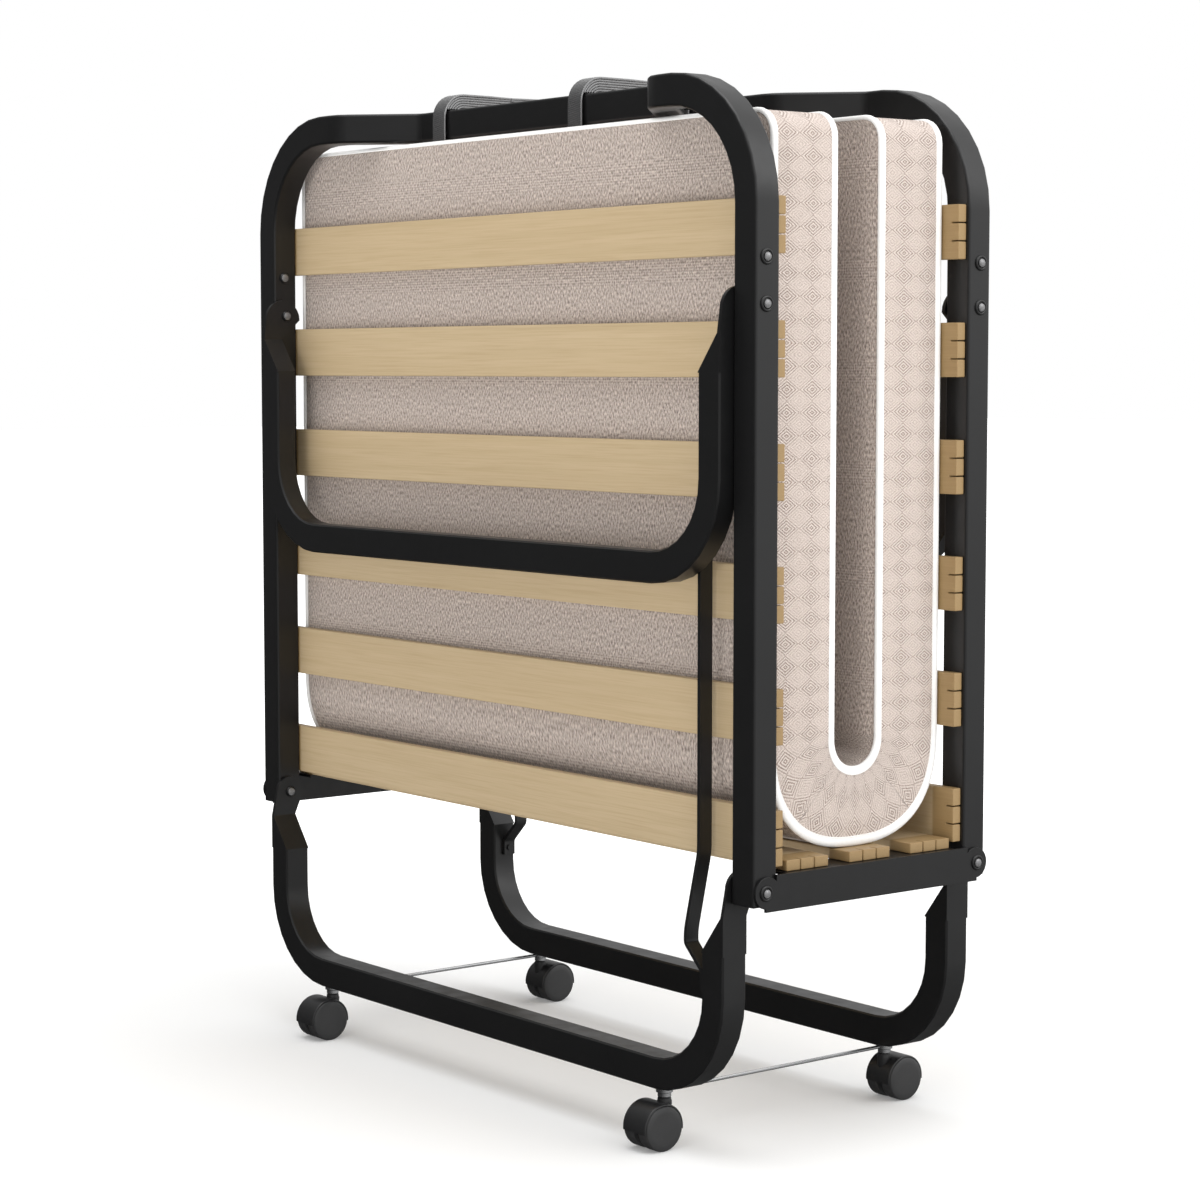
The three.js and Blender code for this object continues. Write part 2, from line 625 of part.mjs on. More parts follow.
// The flat run of the mattress that lies against one deck, its outline rounded at the top.
function padPanel() {
  const x = PAD_HALF_WIDTH - PAD_CORNER;
  const z = PAD_TOP - PAD_CORNER;
  const shape = new THREE.Shape();
  shape.moveTo(-PAD_HALF_WIDTH, PAD_SPLIT_Z + GAP);
  shape.lineTo(PAD_HALF_WIDTH, PAD_SPLIT_Z + GAP);
  shape.absarc(x, z, PAD_CORNER, 0, Math.PI / 2, false);
  shape.absarc(-x, z, PAD_CORNER, Math.PI / 2, Math.PI, false);
  const depth = PAD_OUTER_Y - PAD_INNER_Y;
  const settings = { depth, bevelEnabled: false, curveSegments: PAD_SEGMENTS };
  const panel = new THREE.ExtrudeGeometry(shape, settings);
  // The shape's y becomes Z, and its depth runs towards -Y from the inner face.
  panel.applyMatrix4(new THREE.Matrix4().set(1, 0, 0, 0, 0, 0, -1, -PAD_INNER_Y, 0, 1, 0, 0, 0, 0, 0, 1));
  return panel;
}

// The bend that rests on the centre slats.
function padBend() {
  const low = PAD_BOTTOM + PAD_OUTER_RADIUS;
  const shape = new THREE.Shape();
  shape.moveTo(-PAD_OUTER_Y, PAD_SPLIT_Z - GAP);
  shape.absarc(-PAD_OUTER_Y + PAD_OUTER_RADIUS, low, PAD_OUTER_RADIUS, Math.PI, 1.5 * Math.PI, false);
  shape.absarc(PAD_OUTER_Y - PAD_OUTER_RADIUS, low, PAD_OUTER_RADIUS, 1.5 * Math.PI, 2 * Math.PI, false);
  shape.lineTo(PAD_OUTER_Y, PAD_SPLIT_Z - GAP);
  shape.lineTo(PAD_INNER_Y, PAD_SPLIT_Z - GAP);
  shape.absarc(0, PAD_BEND_INNER_Z + PAD_INNER_Y, PAD_INNER_Y, 0, -Math.PI, true);
  shape.lineTo(-PAD_INNER_Y, PAD_SPLIT_Z - GAP);
  return plateAcrossX(shape, -PAD_HALF_WIDTH, PAD_HALF_WIDTH, 2 * PAD_SEGMENTS);
}

// Half of a strap: it hooks round the deck's top rail and meets the other half in the middle. Its
// spare turns lie packed between the rail and the outermost turn.
function strapHalf(x) {
  const back = -deckTubeY + BOW_DEPTH + TUBE_DEPTH / 2 + STRAP_HOOK_GAP;
  const corners = [
    new THREE.Vector3(x, back, DECK_TOP - STRAP_HOOK_END),
    new THREE.Vector3(x, back, STRAP_LOW),
    new THREE.Vector3(x, -STRAP_REACH, STRAP_LOW),
    new THREE.Vector3(x, -STRAP_REACH, STRAP_TOP),
    new THREE.Vector3(x, -GAP, STRAP_TOP),
  ];
  const route = new BentRoute(corners, [STRAP_HOOK_BEND, STRAP_HOOK_BEND, STRAP_CURVE]);
  const band = solid(sweep(rectangle(THREE.Shape, STRAP_THICKNESS, STRAP_WIDTH), route));
  const inset = STRAP_THICKNESS / 2 - JOINT_OVERLAP;
  const curve = STRAP_CURVE - inset;
  const curveY = -STRAP_REACH + STRAP_CURVE;
  const curveZ = STRAP_TOP - STRAP_CURVE;
  const floor = DECK_TOP + GAP;
  const pack = new THREE.Shape();
  pack.moveTo(-GAP, floor);
  pack.lineTo(-GAP, STRAP_TOP - inset);
  pack.absarc(curveY, curveZ, curve, Math.PI / 2, Math.PI - Math.asin((floor - curveZ) / curve), false);
  const half = STRAP_WIDTH / 2 - STRAP_PACK_INSET;
  return geometryOf(band.add(solid(plateAcrossX(pack, x - half, x + half, STRAP_SEGMENTS))));
}

// ---- Assembly --------------------------------------------------------------------------------------

// One half of the bed, drawn for the front and turned half a turn about Z for the back.
function addHalf(name, turnedRound) {
  const half = new THREE.Group();
  half.rotation.z = turnedRound ? Math.PI : 0;
  bed.add(half);
  piece(half, `${name}_deck_frame`, deckFrame(), paintedSteel);
  for (let i = 0; i < SLATS_PER_DECK; i += 1) {
    const board = piece(half, `${name}_slat_${i + 1}`, slat(), slatWood);
    board.rotation.x = -Math.PI / 2;
    board.position.set(0, -slatFace + GAP, TOP_SLAT_Z - i * SLAT_PITCH);
  }
  piece(half, `${name}_wheel_frame`, wheelFrame(), paintedSteel);
  piece(half, `${name}_end_leg`, endLeg(), paintedSteel);
  piece(half, `${name}_link_bar`, linkBar(), paintedSteel);
  piece(half, `${name}_mattress_panel`, padPanel(), tickingFabric);
  for (const side of [-1, 1]) {
    // Left and right are the bed's own, so they change places on the turned half.
    const label = `${name}_${side > 0 === turnedRound ? 'left' : 'right'}`;
    addRivets(half, label, side);
    addCaster(half, label, side * CASTER_X);
  }
  STRAP_POSITIONS.forEach((x, i) => {
    piece(half, `${name}_strap_${i + 1}`, strapHalf(turnedRound ? -x : x), webbing);
  });
}

function addRivets(parent, label, side) {
  const outer = BED_WIDTH / 2 + GAP;
  const hinge = sidedRivet(side, earInner - GAP, railOuter + GAP, -HINGE_Y, HINGE_Z);
  const leg = sidedRivet(side, earInner - GAP, outer, -HINGE_Y, LEG_HINGE_Z);
  const stop = sidedRivet(side, postInner - GAP, outer, -HINGE_Y, STOP_RIVET_Z);
  piece(parent, `${label}_hinge_rivet`, hinge, rivetSteel);
  piece(parent, `${label}_leg_rivet`, leg, rivetSteel);
  piece(parent, `${label}_stop_rivet`, stop, rivetSteel);
}

function addCaster(parent, label, x) {
  const axleY = -WHEEL_FRAME_Y - CASTER_TRAIL;
  const hood = piece(parent, `${label}_caster_hood`, casterHood(), blackPlastic);
  const wheels = piece(parent, `${label}_caster_wheels`, casterWheels(), wheelPlastic);
  const stem = piece(parent, `${label}_caster_stem`, casterStem(), brightSteel);
  hood.position.set(x, axleY, WHEEL_RADIUS);
  wheels.position.set(x, axleY, WHEEL_RADIUS);
  stem.position.set(x, -WHEEL_FRAME_Y, 0);
}

const bed = new THREE.Group();
bed.name = 'rollaway_bed';
addHalf('front', false);
addHalf('back', true);

for (const [sideName, side] of [['left', -1], ['right', 1]]) {
  piece(bed, `centre_rail_${sideName}`, centreRail(side), paintedSteel);
  const rod = piece(bed, `spacer_rod_${sideName}`, spacerRod(), brightSteel);
  rod.position.x = side * CASTER_X;
}

for (let i = 0; i < CENTRE_SLATS; i += 1) {
  const board = piece(bed, `centre_slat_${i + 1}`, slat(), slatWood);
  board.position.set(0, (i - (CENTRE_SLATS - 1) / 2) * CENTRE_SLAT_PITCH, deckFloor + GAP);
}

piece(bed, 'mattress_bend', padBend(), tickingFabric);

export default bed;
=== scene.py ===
"""Looks for the folding rollaway bed: materials, mattress, straps, rivets and casters."""

import math

import bmesh
import bpy
import numpy as np
from mathutils import Matrix, Vector, noise


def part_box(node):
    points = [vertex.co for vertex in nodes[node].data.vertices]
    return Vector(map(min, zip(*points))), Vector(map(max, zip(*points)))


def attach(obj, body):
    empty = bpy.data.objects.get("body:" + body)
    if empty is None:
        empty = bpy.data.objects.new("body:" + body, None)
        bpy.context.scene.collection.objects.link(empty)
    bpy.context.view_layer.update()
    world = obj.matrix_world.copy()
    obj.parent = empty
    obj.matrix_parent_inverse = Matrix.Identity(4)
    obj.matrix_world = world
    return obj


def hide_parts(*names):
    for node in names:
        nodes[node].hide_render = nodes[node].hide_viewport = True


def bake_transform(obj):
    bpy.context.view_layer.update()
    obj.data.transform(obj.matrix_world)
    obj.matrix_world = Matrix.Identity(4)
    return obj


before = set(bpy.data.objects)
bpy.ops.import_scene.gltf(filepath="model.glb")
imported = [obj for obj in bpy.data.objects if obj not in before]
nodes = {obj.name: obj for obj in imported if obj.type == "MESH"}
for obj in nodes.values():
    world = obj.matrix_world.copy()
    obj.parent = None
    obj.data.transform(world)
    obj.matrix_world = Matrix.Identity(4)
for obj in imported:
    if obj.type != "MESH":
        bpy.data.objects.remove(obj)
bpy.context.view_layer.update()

HALVES = (("front", 1), ("back", -1))
SIDES = ("left", "right")


# ---- Materials -----------------------------------------------------------------------------------


class Finish:
    """A material and short ways to add nodes to it."""

    def __init__(self, name):
        self.material = bpy.data.materials.new(name)
        self.material.use_nodes = True
        self.tree = self.material.node_tree
        self.tree.nodes.clear()
        self.shader = self.node("ShaderNodeBsdfPrincipled")
        output = self.node("ShaderNodeOutputMaterial")
        self.tree.links.new(self.shader.outputs["BSDF"], output.inputs["Surface"])

    def node(self, kind, **settings):
        made = self.tree.nodes.new(kind)
        for key, value in settings.items():
            setattr(made, key, value)
        return made

    def put(self, socket, value):
        if isinstance(value, bpy.types.NodeSocket):
            self.tree.links.new(value, socket)
        else:
            socket.default_value = value

    def math(self, operation, a, b=0.0, c=0.0):
        made = self.node("ShaderNodeMath", operation=operation)
        for socket, value in zip(made.inputs, (a, b, c)):
            self.put(socket, value)
        return made.outputs[0]

    def position(self):
        """The object's own coordinates, in metres."""
        return self.node("ShaderNodeTexCoord").outputs["Object"]

    def cloth(self):
        """Places on the cloth, in metres: across it and along it."""
        u, v, _ = self.axes(self.node("ShaderNodeUVMap", uv_map="cloth").outputs[0])
        return u, v

    def wave(self, value, pitch):
        """A sine that repeats at that pitch."""
        return self.math("SINE", self.math("MULTIPLY", value, 2 * math.pi / pitch))

    def axes(self, vector):
        made = self.node("ShaderNodeSeparateXYZ")
        self.put(made.inputs[0], vector)
        return made.outputs

    def vector(self, x, y, z=0.0):
        made = self.node("ShaderNodeCombineXYZ")
        for socket, value in zip(made.inputs, (x, y, z)):
            self.put(socket, value)
        return made.outputs[0]

    def scaled(self, vector, scale):
        made = self.node("ShaderNodeMapping")
        self.put(made.inputs["Vector"], vector)
        made.inputs["Scale"].default_value = scale
        return made.outputs[0]

    def noise(self, vector, scale, detail=3.0, roughness=0.5, distortion=0.0):
        made = self.node("ShaderNodeTexNoise")
        self.put(made.inputs["Vector"], vector)
        made.inputs["Scale"].default_value = scale
        made.inputs["Detail"].default_value = detail
        made.inputs["Roughness"].default_value = roughness
        made.inputs["Distortion"].default_value = distortion
        return made.outputs["Fac"]

    def spread(self, value, low, high, to_low=0.0, to_high=1.0):
        made = self.node("ShaderNodeMapRange")
        for socket, item in zip(made.inputs, (value, low, high, to_low, to_high)):
            self.put(socket, item)
        return made.outputs[0]

    def mix(self, factor, a, b):
        made = self.node("ShaderNodeMix", data_type="RGBA")
        self.put(made.inputs["Factor"], factor)
        self.put(made.inputs["A"], a)
        self.put(made.inputs["B"], b)
        return made.outputs["Result"]

    def bump(self, height, distance, strength=1.0):
        made = self.node("ShaderNodeBump")
        made.inputs["Strength"].default_value = strength
        made.inputs["Distance"].default_value = distance
        self.put(made.inputs["Height"], height)
        self.put(self.shader.inputs["Normal"], made.outputs[0])

    def set(self, **values):
        for name, value in values.items():
            self.put(self.shader.inputs[name.replace("_", " ")], value)


def rgb(red, green, blue):
    return (red, green, blue, 1.0)


def painted_tube():
    f = Finish("satin_black_paint")
    at = f.position()
    cloud = f.noise(at, 9.0, 4.0)
    f.set(Base_Color=f.mix(cloud, rgb(0.0045, 0.0045, 0.0047), rgb(0.0080, 0.0080, 0.0083)))
    rough = f.spread(f.noise(at, 60.0, 3.0), 0.3, 0.7, 0.30, 0.40)
    f.set(Roughness=rough, Specular_IOR_Level=0.5)
    f.bump(f.noise(at, 900.0, 2.0), 0.00004, 0.35)
    return f.material


# How far from the middle of a slat the tan of its cut end starts, and where it is full.
CUT_END = (0.4055, 0.4085)


def slat_wood():
    f = Finish("clear_coated_beech")
    at = f.position()
    x, _, _ = f.axes(at)
    long_grain = f.noise(f.scaled(at, (1.6, 60.0, 60.0)), 2.2, 5.0, 0.55, 0.6)
    fine_grain = f.noise(f.scaled(at, (7.0, 420.0, 420.0)), 1.6, 3.0, 0.6)
    board = f.noise(f.scaled(at, (0.6, 8.6, 8.6)), 1.0, 1.0)
    pale = f.mix(long_grain, rgb(0.43, 0.325, 0.185), rgb(0.57, 0.445, 0.280))
    lined = f.mix(f.spread(fine_grain, 0.45, 0.75, 0.0, 0.45), pale, rgb(0.36, 0.25, 0.13))
    toned = f.mix(f.spread(board, 0.3, 0.7, 0.0, 0.35), lined, rgb(0.52, 0.38, 0.215))
    end = f.spread(f.math("ABSOLUTE", x), *CUT_END)
    tan = f.mix(fine_grain, rgb(0.26, 0.165, 0.070), rgb(0.36, 0.245, 0.115))
    f.set(Base_Color=f.mix(end, toned, tan))
    f.set(Roughness=f.spread(fine_grain, 0.2, 0.8, 0.42, 0.56), Specular_IOR_Level=0.4)
    f.bump(fine_grain, 0.0001, 0.4)
    return f.material


def weave_height(f, u, v, pitch):
    """Over-and-under threads at that pitch, in metres."""
    return f.math("MULTIPLY", f.wave(u, pitch), f.wave(v, pitch))


def cell(f, value, size):
    """The distance from the middle of its repeat, from 0 to 1 at the repeat's edge."""
    return f.math("ABSOLUTE", f.math("MULTIPLY", f.math("WRAP", value, size / 2, -size / 2), 2 / size))


BORDER_REPEAT = (0.0325, 0.0222)  # the size of a diamond across and along the border
BORDER_RINGS = 3.6
BORDER_THREAD = 0.0016
BORDER_RELIEF = 0.00050


def ticking_boxing():
    """The mattress's border: two columns of nested diamonds."""
    f = Finish("ticking_border")
    u, v = f.cloth()
    drift = f.noise(f.vector(u, v), 260.0, 2.0)
    u = f.math("MULTIPLY_ADD", drift, 0.0009, u)
    v = f.math("MULTIPLY_ADD", drift, 0.0007, v)
    diamond = f.math("ADD", cell(f, u, BORDER_REPEAT[0]), cell(f, v, BORDER_REPEAT[1]))
    ring = f.math("COSINE", f.math("MULTIPLY", diamond, 2 * math.pi * BORDER_RINGS))
    rings = f.math("MULTIPLY", ring, f.spread(diamond, 0.86, 1.12, 1.0, 0.30))
    thread = weave_height(f, u, v, BORDER_THREAD)
    fluff = f.spread(f.noise(f.vector(u, v), 1000.0, 1.0), 0.3, 0.7, -1.0, 1.0)
    raised = f.math("MULTIPLY_ADD", fluff, 0.55, rings)
    height = f.math("MULTIPLY_ADD", thread, 0.22, raised)
    dark = rgb(0.255, 0.180, 0.145)
    light = rgb(0.680, 0.590, 0.535)
    shade = f.spread(raised, -1.25, 0.45)
    cloud = f.noise(f.vector(u, v), 14.0, 3.0)
    base = f.mix(shade, dark, light)
    f.set(Base_Color=f.mix(f.spread(cloud, 0.35, 0.65, 0.0, 0.10), base, rgb(0.50, 0.42, 0.375)))
    f.set(Roughness=0.88, Specular_IOR_Level=0.25, Sheen_Weight=0.25, Sheen_Roughness=0.5)
    f.bump(height, BORDER_RELIEF, 0.8)
    return f.material


PANEL_REPEAT = (0.042, 0.100)  # the size of a tall point across and along the panel
PANEL_RINGS = 4.0
PANEL_RIB = 0.0028
PANEL_THREAD = 0.0022
PANEL_RELIEF = 0.00055


def ticking_panel():
    """The mattress's big faces: rows of tall points in a fine weave."""
    f = Finish("ticking_panel")
    u, v = f.cloth()
    row = cell(f, v, PANEL_REPEAT[1])
    tall = f.math("ADD", cell(f, u, PANEL_REPEAT[0]), row)
    ring = f.math("COSINE", f.math("MULTIPLY", tall, 2 * math.pi * PANEL_RINGS))
    points = f.math("MULTIPLY", ring, 0.22)
    within = f.spread(row, 0.70, 0.82, 1.0, 0.15)
    ribs = f.math("MULTIPLY", f.wave(v, PANEL_RIB), 0.3)
    lined = f.math("MULTIPLY", ribs, f.math("SUBTRACT", 1.1, within))
    thread = weave_height(f, u, v, PANEL_THREAD)
    slub = f.noise(f.scaled(f.vector(u, v), (1.0, 0.45, 1.0)), 620.0, 2.0)
    fluff = f.spread(slub, 0.32, 0.68, -1.0, 1.0)
    raised = f.math("MULTIPLY_ADD", points, within, lined)
    height = f.math("MULTIPLY_ADD", thread, 0.5, f.math("MULTIPLY_ADD", fluff, 0.6, raised))
    # These colours keep the panel darker overall than the border: partly the fabric's own tone, partly
    # painted shade for its shaded inner faces between the halves.
    dark = rgb(0.195, 0.153, 0.130)
    light = rgb(0.700, 0.598, 0.530)
    shade = f.spread(f.math("ADD", fluff, raised), -1.1, 1.1)
    cloud = f.noise(f.vector(u, v), 9.0, 3.0)
    base = f.mix(shade, dark, light)
    f.set(Base_Color=f.mix(f.spread(cloud, 0.35, 0.65, 0.0, 0.12), base, rgb(0.40, 0.34, 0.305)))
    f.set(Roughness=0.9, Specular_IOR_Level=0.2, Sheen_Weight=0.2, Sheen_Roughness=0.5)
    f.bump(height, PANEL_RELIEF, 0.8)
    return f.material


TAPE_RIB = 0.0014


def piping_tape():
    f = Finish("white_edge_tape")
    u, v = f.cloth()
    ribs = f.wave(v, TAPE_RIB)
    soft = f.noise(f.vector(u, v), 300.0, 3.0)
    f.set(Base_Color=f.mix(soft, rgb(0.80, 0.79, 0.77), rgb(0.90, 0.895, 0.88)))
    f.set(Roughness=0.75, Specular_IOR_Level=0.3, Sheen_Weight=0.3, Sheen_Roughness=0.4)
    f.bump(f.math("MULTIPLY_ADD", ribs, 0.5, soft), 0.00012, 0.6)
    return f.material


WEBBING_TWILL = 0.0022
WEBBING_ROW = 0.0019
WEBBING_SELVAGE = (0.0093, 0.0102)  # from the middle of the width: where its flat edge starts and is full
WEBBING_SHEEN_SIDE = (0.01085, 0.01100)  # the same for the band's narrow sides, painted lighter as a painted sheen


def webbing():
    """Black twill with a flat selvage; its narrow sides are painted paler grey, a painted sheen."""
    f = Finish("strap_webbing")
    u, v = f.cloth()
    raised = f.math("MULTIPLY", f.wave(f.math("ADD", u, v), WEBBING_TWILL), f.wave(u, WEBBING_ROW))
    reach = f.math("ABSOLUTE", u)
    selvage = f.spread(reach, *WEBBING_SELVAGE, 0.0, 0.6)
    face = f.mix(f.spread(raised, -1.0, 1.0), rgb(0.016, 0.016, 0.0165), rgb(0.062, 0.062, 0.0635))
    face = f.mix(selvage, face, rgb(0.024, 0.024, 0.025))
    # Painted sheen: the band's narrow sides get a paler grey than its face, standing in for the light they
    # catch.
    side_sheen_noise = f.noise(f.vector(u, v), 900.0, 2.0)
    side = f.mix(side_sheen_noise, rgb(0.17, 0.17, 0.172), rgb(0.30, 0.30, 0.303))
    f.set(Base_Color=f.mix(f.spread(reach, *WEBBING_SHEEN_SIDE), face, side))
    f.set(Roughness=0.42, Specular_IOR_Level=0.6, Sheen_Weight=0.45, Sheen_Roughness=0.3)
    f.bump(raised, 0.00018, 0.7)
    return f.material


def moulded(name, low, high, roughness):
    f = Finish(name)
    at = f.position()
    f.set(Base_Color=f.mix(f.noise(at, 40.0, 3.0), rgb(*low), rgb(*high)))
    grain = f.noise(at, 2600.0, 2.0)
    f.set(Roughness=f.spread(f.noise(at, 110.0, 2.0), 0.3, 0.7, roughness - 0.05, roughness + 0.06))
    f.bump(grain, 0.00005, 0.5)
    return f.material


def rivet_paint():
    f = Finish("worn_rivet")
    at = f.position()
    worn = f.noise(at, 500.0, 3.0)
    f.set(Base_Color=f.mix(f.spread(worn, 0.55, 0.75), rgb(0.22, 0.22, 0.223), rgb(0.36, 0.36, 0.364)))
    f.set(Roughness=f.spread(worn, 0.2, 0.8, 0.32, 0.44), Metallic=0.6)
    f.bump(f.noise(at, 1200.0, 2.0), 0.00004, 0.4)
    return f.material


def bright_steel():
    f = Finish("bright_zinc")
    at = f.position()
    drawn = f.noise(f.scaled(at, (900.0, 12.0, 900.0)), 1.0, 3.0)
    f.set(Base_Color=f.mix(drawn, rgb(0.40, 0.405, 0.41), rgb(0.56, 0.565, 0.57)))
    f.set(Roughness=f.spread(drawn, 0.2, 0.8, 0.2, 0.34), Metallic=1.0)
    f.bump(drawn, 0.00003, 0.3)
    return f.material


PAINT = painted_tube()
WOOD = slat_wood()
BOXING = ticking_boxing()
PANEL = ticking_panel()
PIPING = piping_tape()
WEBBING = webbing()
HOOD = moulded("caster_hood_plastic", (0.010, 0.010, 0.0105), (0.017, 0.017, 0.0175), 0.34)
WHEEL = moulded("caster_wheel_plastic", (0.022, 0.022, 0.0225), (0.032, 0.032, 0.0325), 0.44)
RIVET = rivet_paint()
ZINC = bright_steel()


# ---- CAD pieces that stay: finish and softened edges ---------------------------------------------


WELD = 0.00002
SOFT_EDGE = 0.0009
WIRE_EDGE = 0.0004
SLAT_EDGE_ANGLE = 0.9


def dress(node, material, width, angle=0.5):
    """A CAD node in that material, its hard edges rounded by width."""
    node.data.materials.clear()
    node.data.materials.append(material)
    if node.data.has_custom_normals:
        node.data.attributes.remove(node.data.attributes["custom_normal"])
    for face in node.data.polygons:
        face.use_smooth = True
    weld = node.modifiers.new("weld", "WELD")
    weld.merge_threshold = WELD
    bevel = node.modifiers.new("bevel", "BEVEL")
    bevel.width = width
    bevel.segments = 2
    bevel.limit_method = "ANGLE"
    bevel.angle_limit = angle
    bevel.use_clamp_overlap = True
    bevel.harden_normals = True
    flat = node.modifiers.new("flat", "WEIGHTED_NORMAL")
    flat.keep_sharp = True


for name, node in nodes.items():
    if "slat" in name:
        dress(node, WOOD, SOFT_EDGE, SLAT_EDGE_ANGLE)
    elif any(word in name for word in ("frame", "leg", "link", "rail")) and "rivet" not in name:
        dress(node, PAINT, SOFT_EDGE)
    elif "rod" in name:
        dress(node, ZINC, WIRE_EDGE)


# ---- Mesh helpers --------------------------------------------------------------------------------


def make(name, vertices, faces, material, uvs=None):
    """A new mesh object. uvs holds one list of (u, v) for each face."""
    mesh = bpy.data.meshes.new(name)
    mesh.from_pydata([tuple(v) for v in vertices], [], faces)
    mesh.validate()
    if uvs is not None:
        layer = mesh.uv_layers.new(name="cloth")
        flat = [value for face in uvs for pair in face for value in pair]
        layer.data.foreach_set("uv", flat)
    for face in mesh.polygons:
        face.use_smooth = True
    piece = bpy.data.objects.new(name, mesh)
    piece.data.materials.append(material)
    bpy.context.scene.collection.objects.link(piece)
    return piece


def lathe(profile, segments, axis, centre, span=2 * math.pi, start=0.0):
    """Vertices and faces of (radius, height) pairs turned about X or Z through centre."""
    closed = span > 2 * math.pi - 1e-6
    steps = segments if closed else segments + 1
    vertices = []
    for i in range(steps):
        turn = start + span * i / segments
        c, s = math.cos(turn), math.sin(turn)
        for radius, height in profile:
            point = (height, radius * c, radius * s) if axis == "x" else (radius * c, radius * s, height)
            vertices.append(Vector(point) + Vector(centre))
    count = len(profile)
    faces = []
    for i in range(segments):
        a, b = i * count, ((i + 1) % steps) * count
        for j in range(count - 1):
            faces.append((a + j, b + j, b + j + 1, a + j + 1))
    if not closed:
        faces.append(tuple(range(count - 1, -1, -1)))
        faces.append(tuple((steps - 1) * count + j for j in range(count)))
    return vertices, faces


DOUBLED = 1e-6


def tidy(piece):
    """Merges doubled points, drops empty faces and turns every face outward."""
    mesh = bmesh.new()
    mesh.from_mesh(piece.data)
    bmesh.ops.remove_doubles(mesh, verts=mesh.verts, dist=DOUBLED)
    bmesh.ops.dissolve_degenerate(mesh, edges=mesh.edges, dist=DOUBLED)
    bmesh.ops.recalc_face_normals(mesh, faces=mesh.faces)
    mesh.to_mesh(piece.data)
    mesh.free()


def joined(name, parts, material):
    """One object from several (vertices, faces) parts."""
    vertices, faces = [], []
    for part_vertices, part_faces in parts:
        shift = len(vertices)
        vertices.extend(part_vertices)
        faces.extend(tuple(i + shift for i in face) for face in part_faces)
    piece = make(name, vertices, faces, material)
    tidy(piece)
    return piece


def sharpen(piece, angle=0.6):
    """Keeps hard edges hard in smooth shading."""
    piece.data.set_sharp_from_angle(angle=angle)


def middle(name):
    """The middle, low corner and high corner of a CAD node's box."""
    low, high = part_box(name)
    return (Vector(low) + Vector(high)) / 2, Vector(low), Vector(high)


# ---- Mattress ------------------------------------------------------------------------------------

HALF_WIDTH = 0.4135
OUTER_Y = 0.1118
INNER_Y = 0.0285
TOP_Z = 1.0155
BEND_Z = 0.408  # the bend starts here
BEND_BOTTOM = 0.3012
BEND_INNER = 0.3785
BEND_OUTER_POWER = 2.45  # 2 is an ellipse, and more is squarer
BEND_INNER_POWER = 2.1
MIDLINE_OUTER = 0.6  # the outer face's share of the line that the border's length is measured on
CORNER = 0.024
CORNER_ROWS = 6
ROW = 0.0095
BEND_ROWS = 24
ACROSS = 56
THROUGH = 8
BOXING_SLOT = 0
PANEL_SLOT = 1
PLANE_ANGLE = math.radians(45.9)  # the mattress parts here when a deck folds down
PARTING_HALF = math.radians(0.35)
# How much further along the pattern is past the parting, on each face.
SPREAD_PANEL_IN = 0.237
SPREAD_PANEL_OUT = 0.117
SPREAD_BOXING = 0.177
# How far the cloth may move along its normals: inward, out on the slats' side, and out elsewhere.
PUFF_IN = 0.0008
PUFF_ON_SLATS = 0.0010
PUFF_FREE = 0.0030
RIPPLE = 0.0006
RIPPLE_SCALE = 16.0
SIDE_STRIP = 0.002
ON_SLATS_DEPTH = 0.004
ON_SLATS_REACH = 0.08  # from the bend's centre
END_PATTERN_START = -0.1
CLOTH_FRAMES = 20


def bend_point(angle, reach, depth, power):
    """A point of the bend's outline, angle 0 at the side and a quarter turn at the bottom."""
    c, s = math.cos(angle), math.sin(angle)
    radius = (abs(c / reach) ** power + abs(s / depth) ** power) ** (-1 / power)
    return Vector((0, -radius * c, BEND_Z - radius * s))


def bend_angles():
    """Even steps round the bend, with one very short row where the mattress parts."""
    even = [math.pi / 2 * i / BEND_ROWS for i in range(BEND_ROWS + 1)]
    nearest = min(even, key=lambda angle: abs(angle - PLANE_ANGLE))
    even.remove(nearest)
    return sorted(even + [PLANE_ANGLE - PARTING_HALF, PLANE_ANGLE + PARTING_HALF])


def mattress_rows():
    """(outer point, inner point, half width, distance along) from the top end to the middle."""
    rows = []
    for i in range(CORNER_ROWS):
        turn = math.pi / 2 * i / CORNER_ROWS
        drop = CORNER * (1 - math.cos(turn))
        width = HALF_WIDTH - CORNER + CORNER * math.sin(turn)
        z = TOP_Z - drop
        rows.append((Vector((0, -OUTER_Y, z)), Vector((0, -INNER_Y, z)), width, drop))
    straight = TOP_Z - CORNER - BEND_Z
    count = round(straight / ROW)
    for i in range(count):
        drop = CORNER + straight * i / count
        z = TOP_Z - drop
        rows.append((Vector((0, -OUTER_Y, z)), Vector((0, -INNER_Y, z)), HALF_WIDTH, drop))
    step = 0.0
    last = None
    for angle in bend_angles():
        outer = bend_point(angle, OUTER_Y, BEND_Z - BEND_BOTTOM, BEND_OUTER_POWER)
        inner = bend_point(angle, INNER_Y, BEND_Z - BEND_INNER, BEND_INNER_POWER)
        centre = outer * MIDLINE_OUTER + inner * (1 - MIDLINE_OUTER)
        if last is not None:
            step += (centre - last).length
        last = centre
        rows.append((outer, inner, HALF_WIDTH, TOP_Z - BEND_Z + step))
    return rows


def ring_places():
    """One row's points: (place across from -1 to 1, place through from 0 inner to 1 outer)."""
    ring = [(-1 + 2 * i / ACROSS, 1) for i in range(ACROSS)]
    ring += [(1, 1 - i / THROUGH) for i in range(THROUGH)]
    ring += [(1 - 2 * i / ACROSS, 0) for i in range(ACROSS)]
    ring += [(-1, i / THROUGH) for i in range(THROUGH)]
    return ring


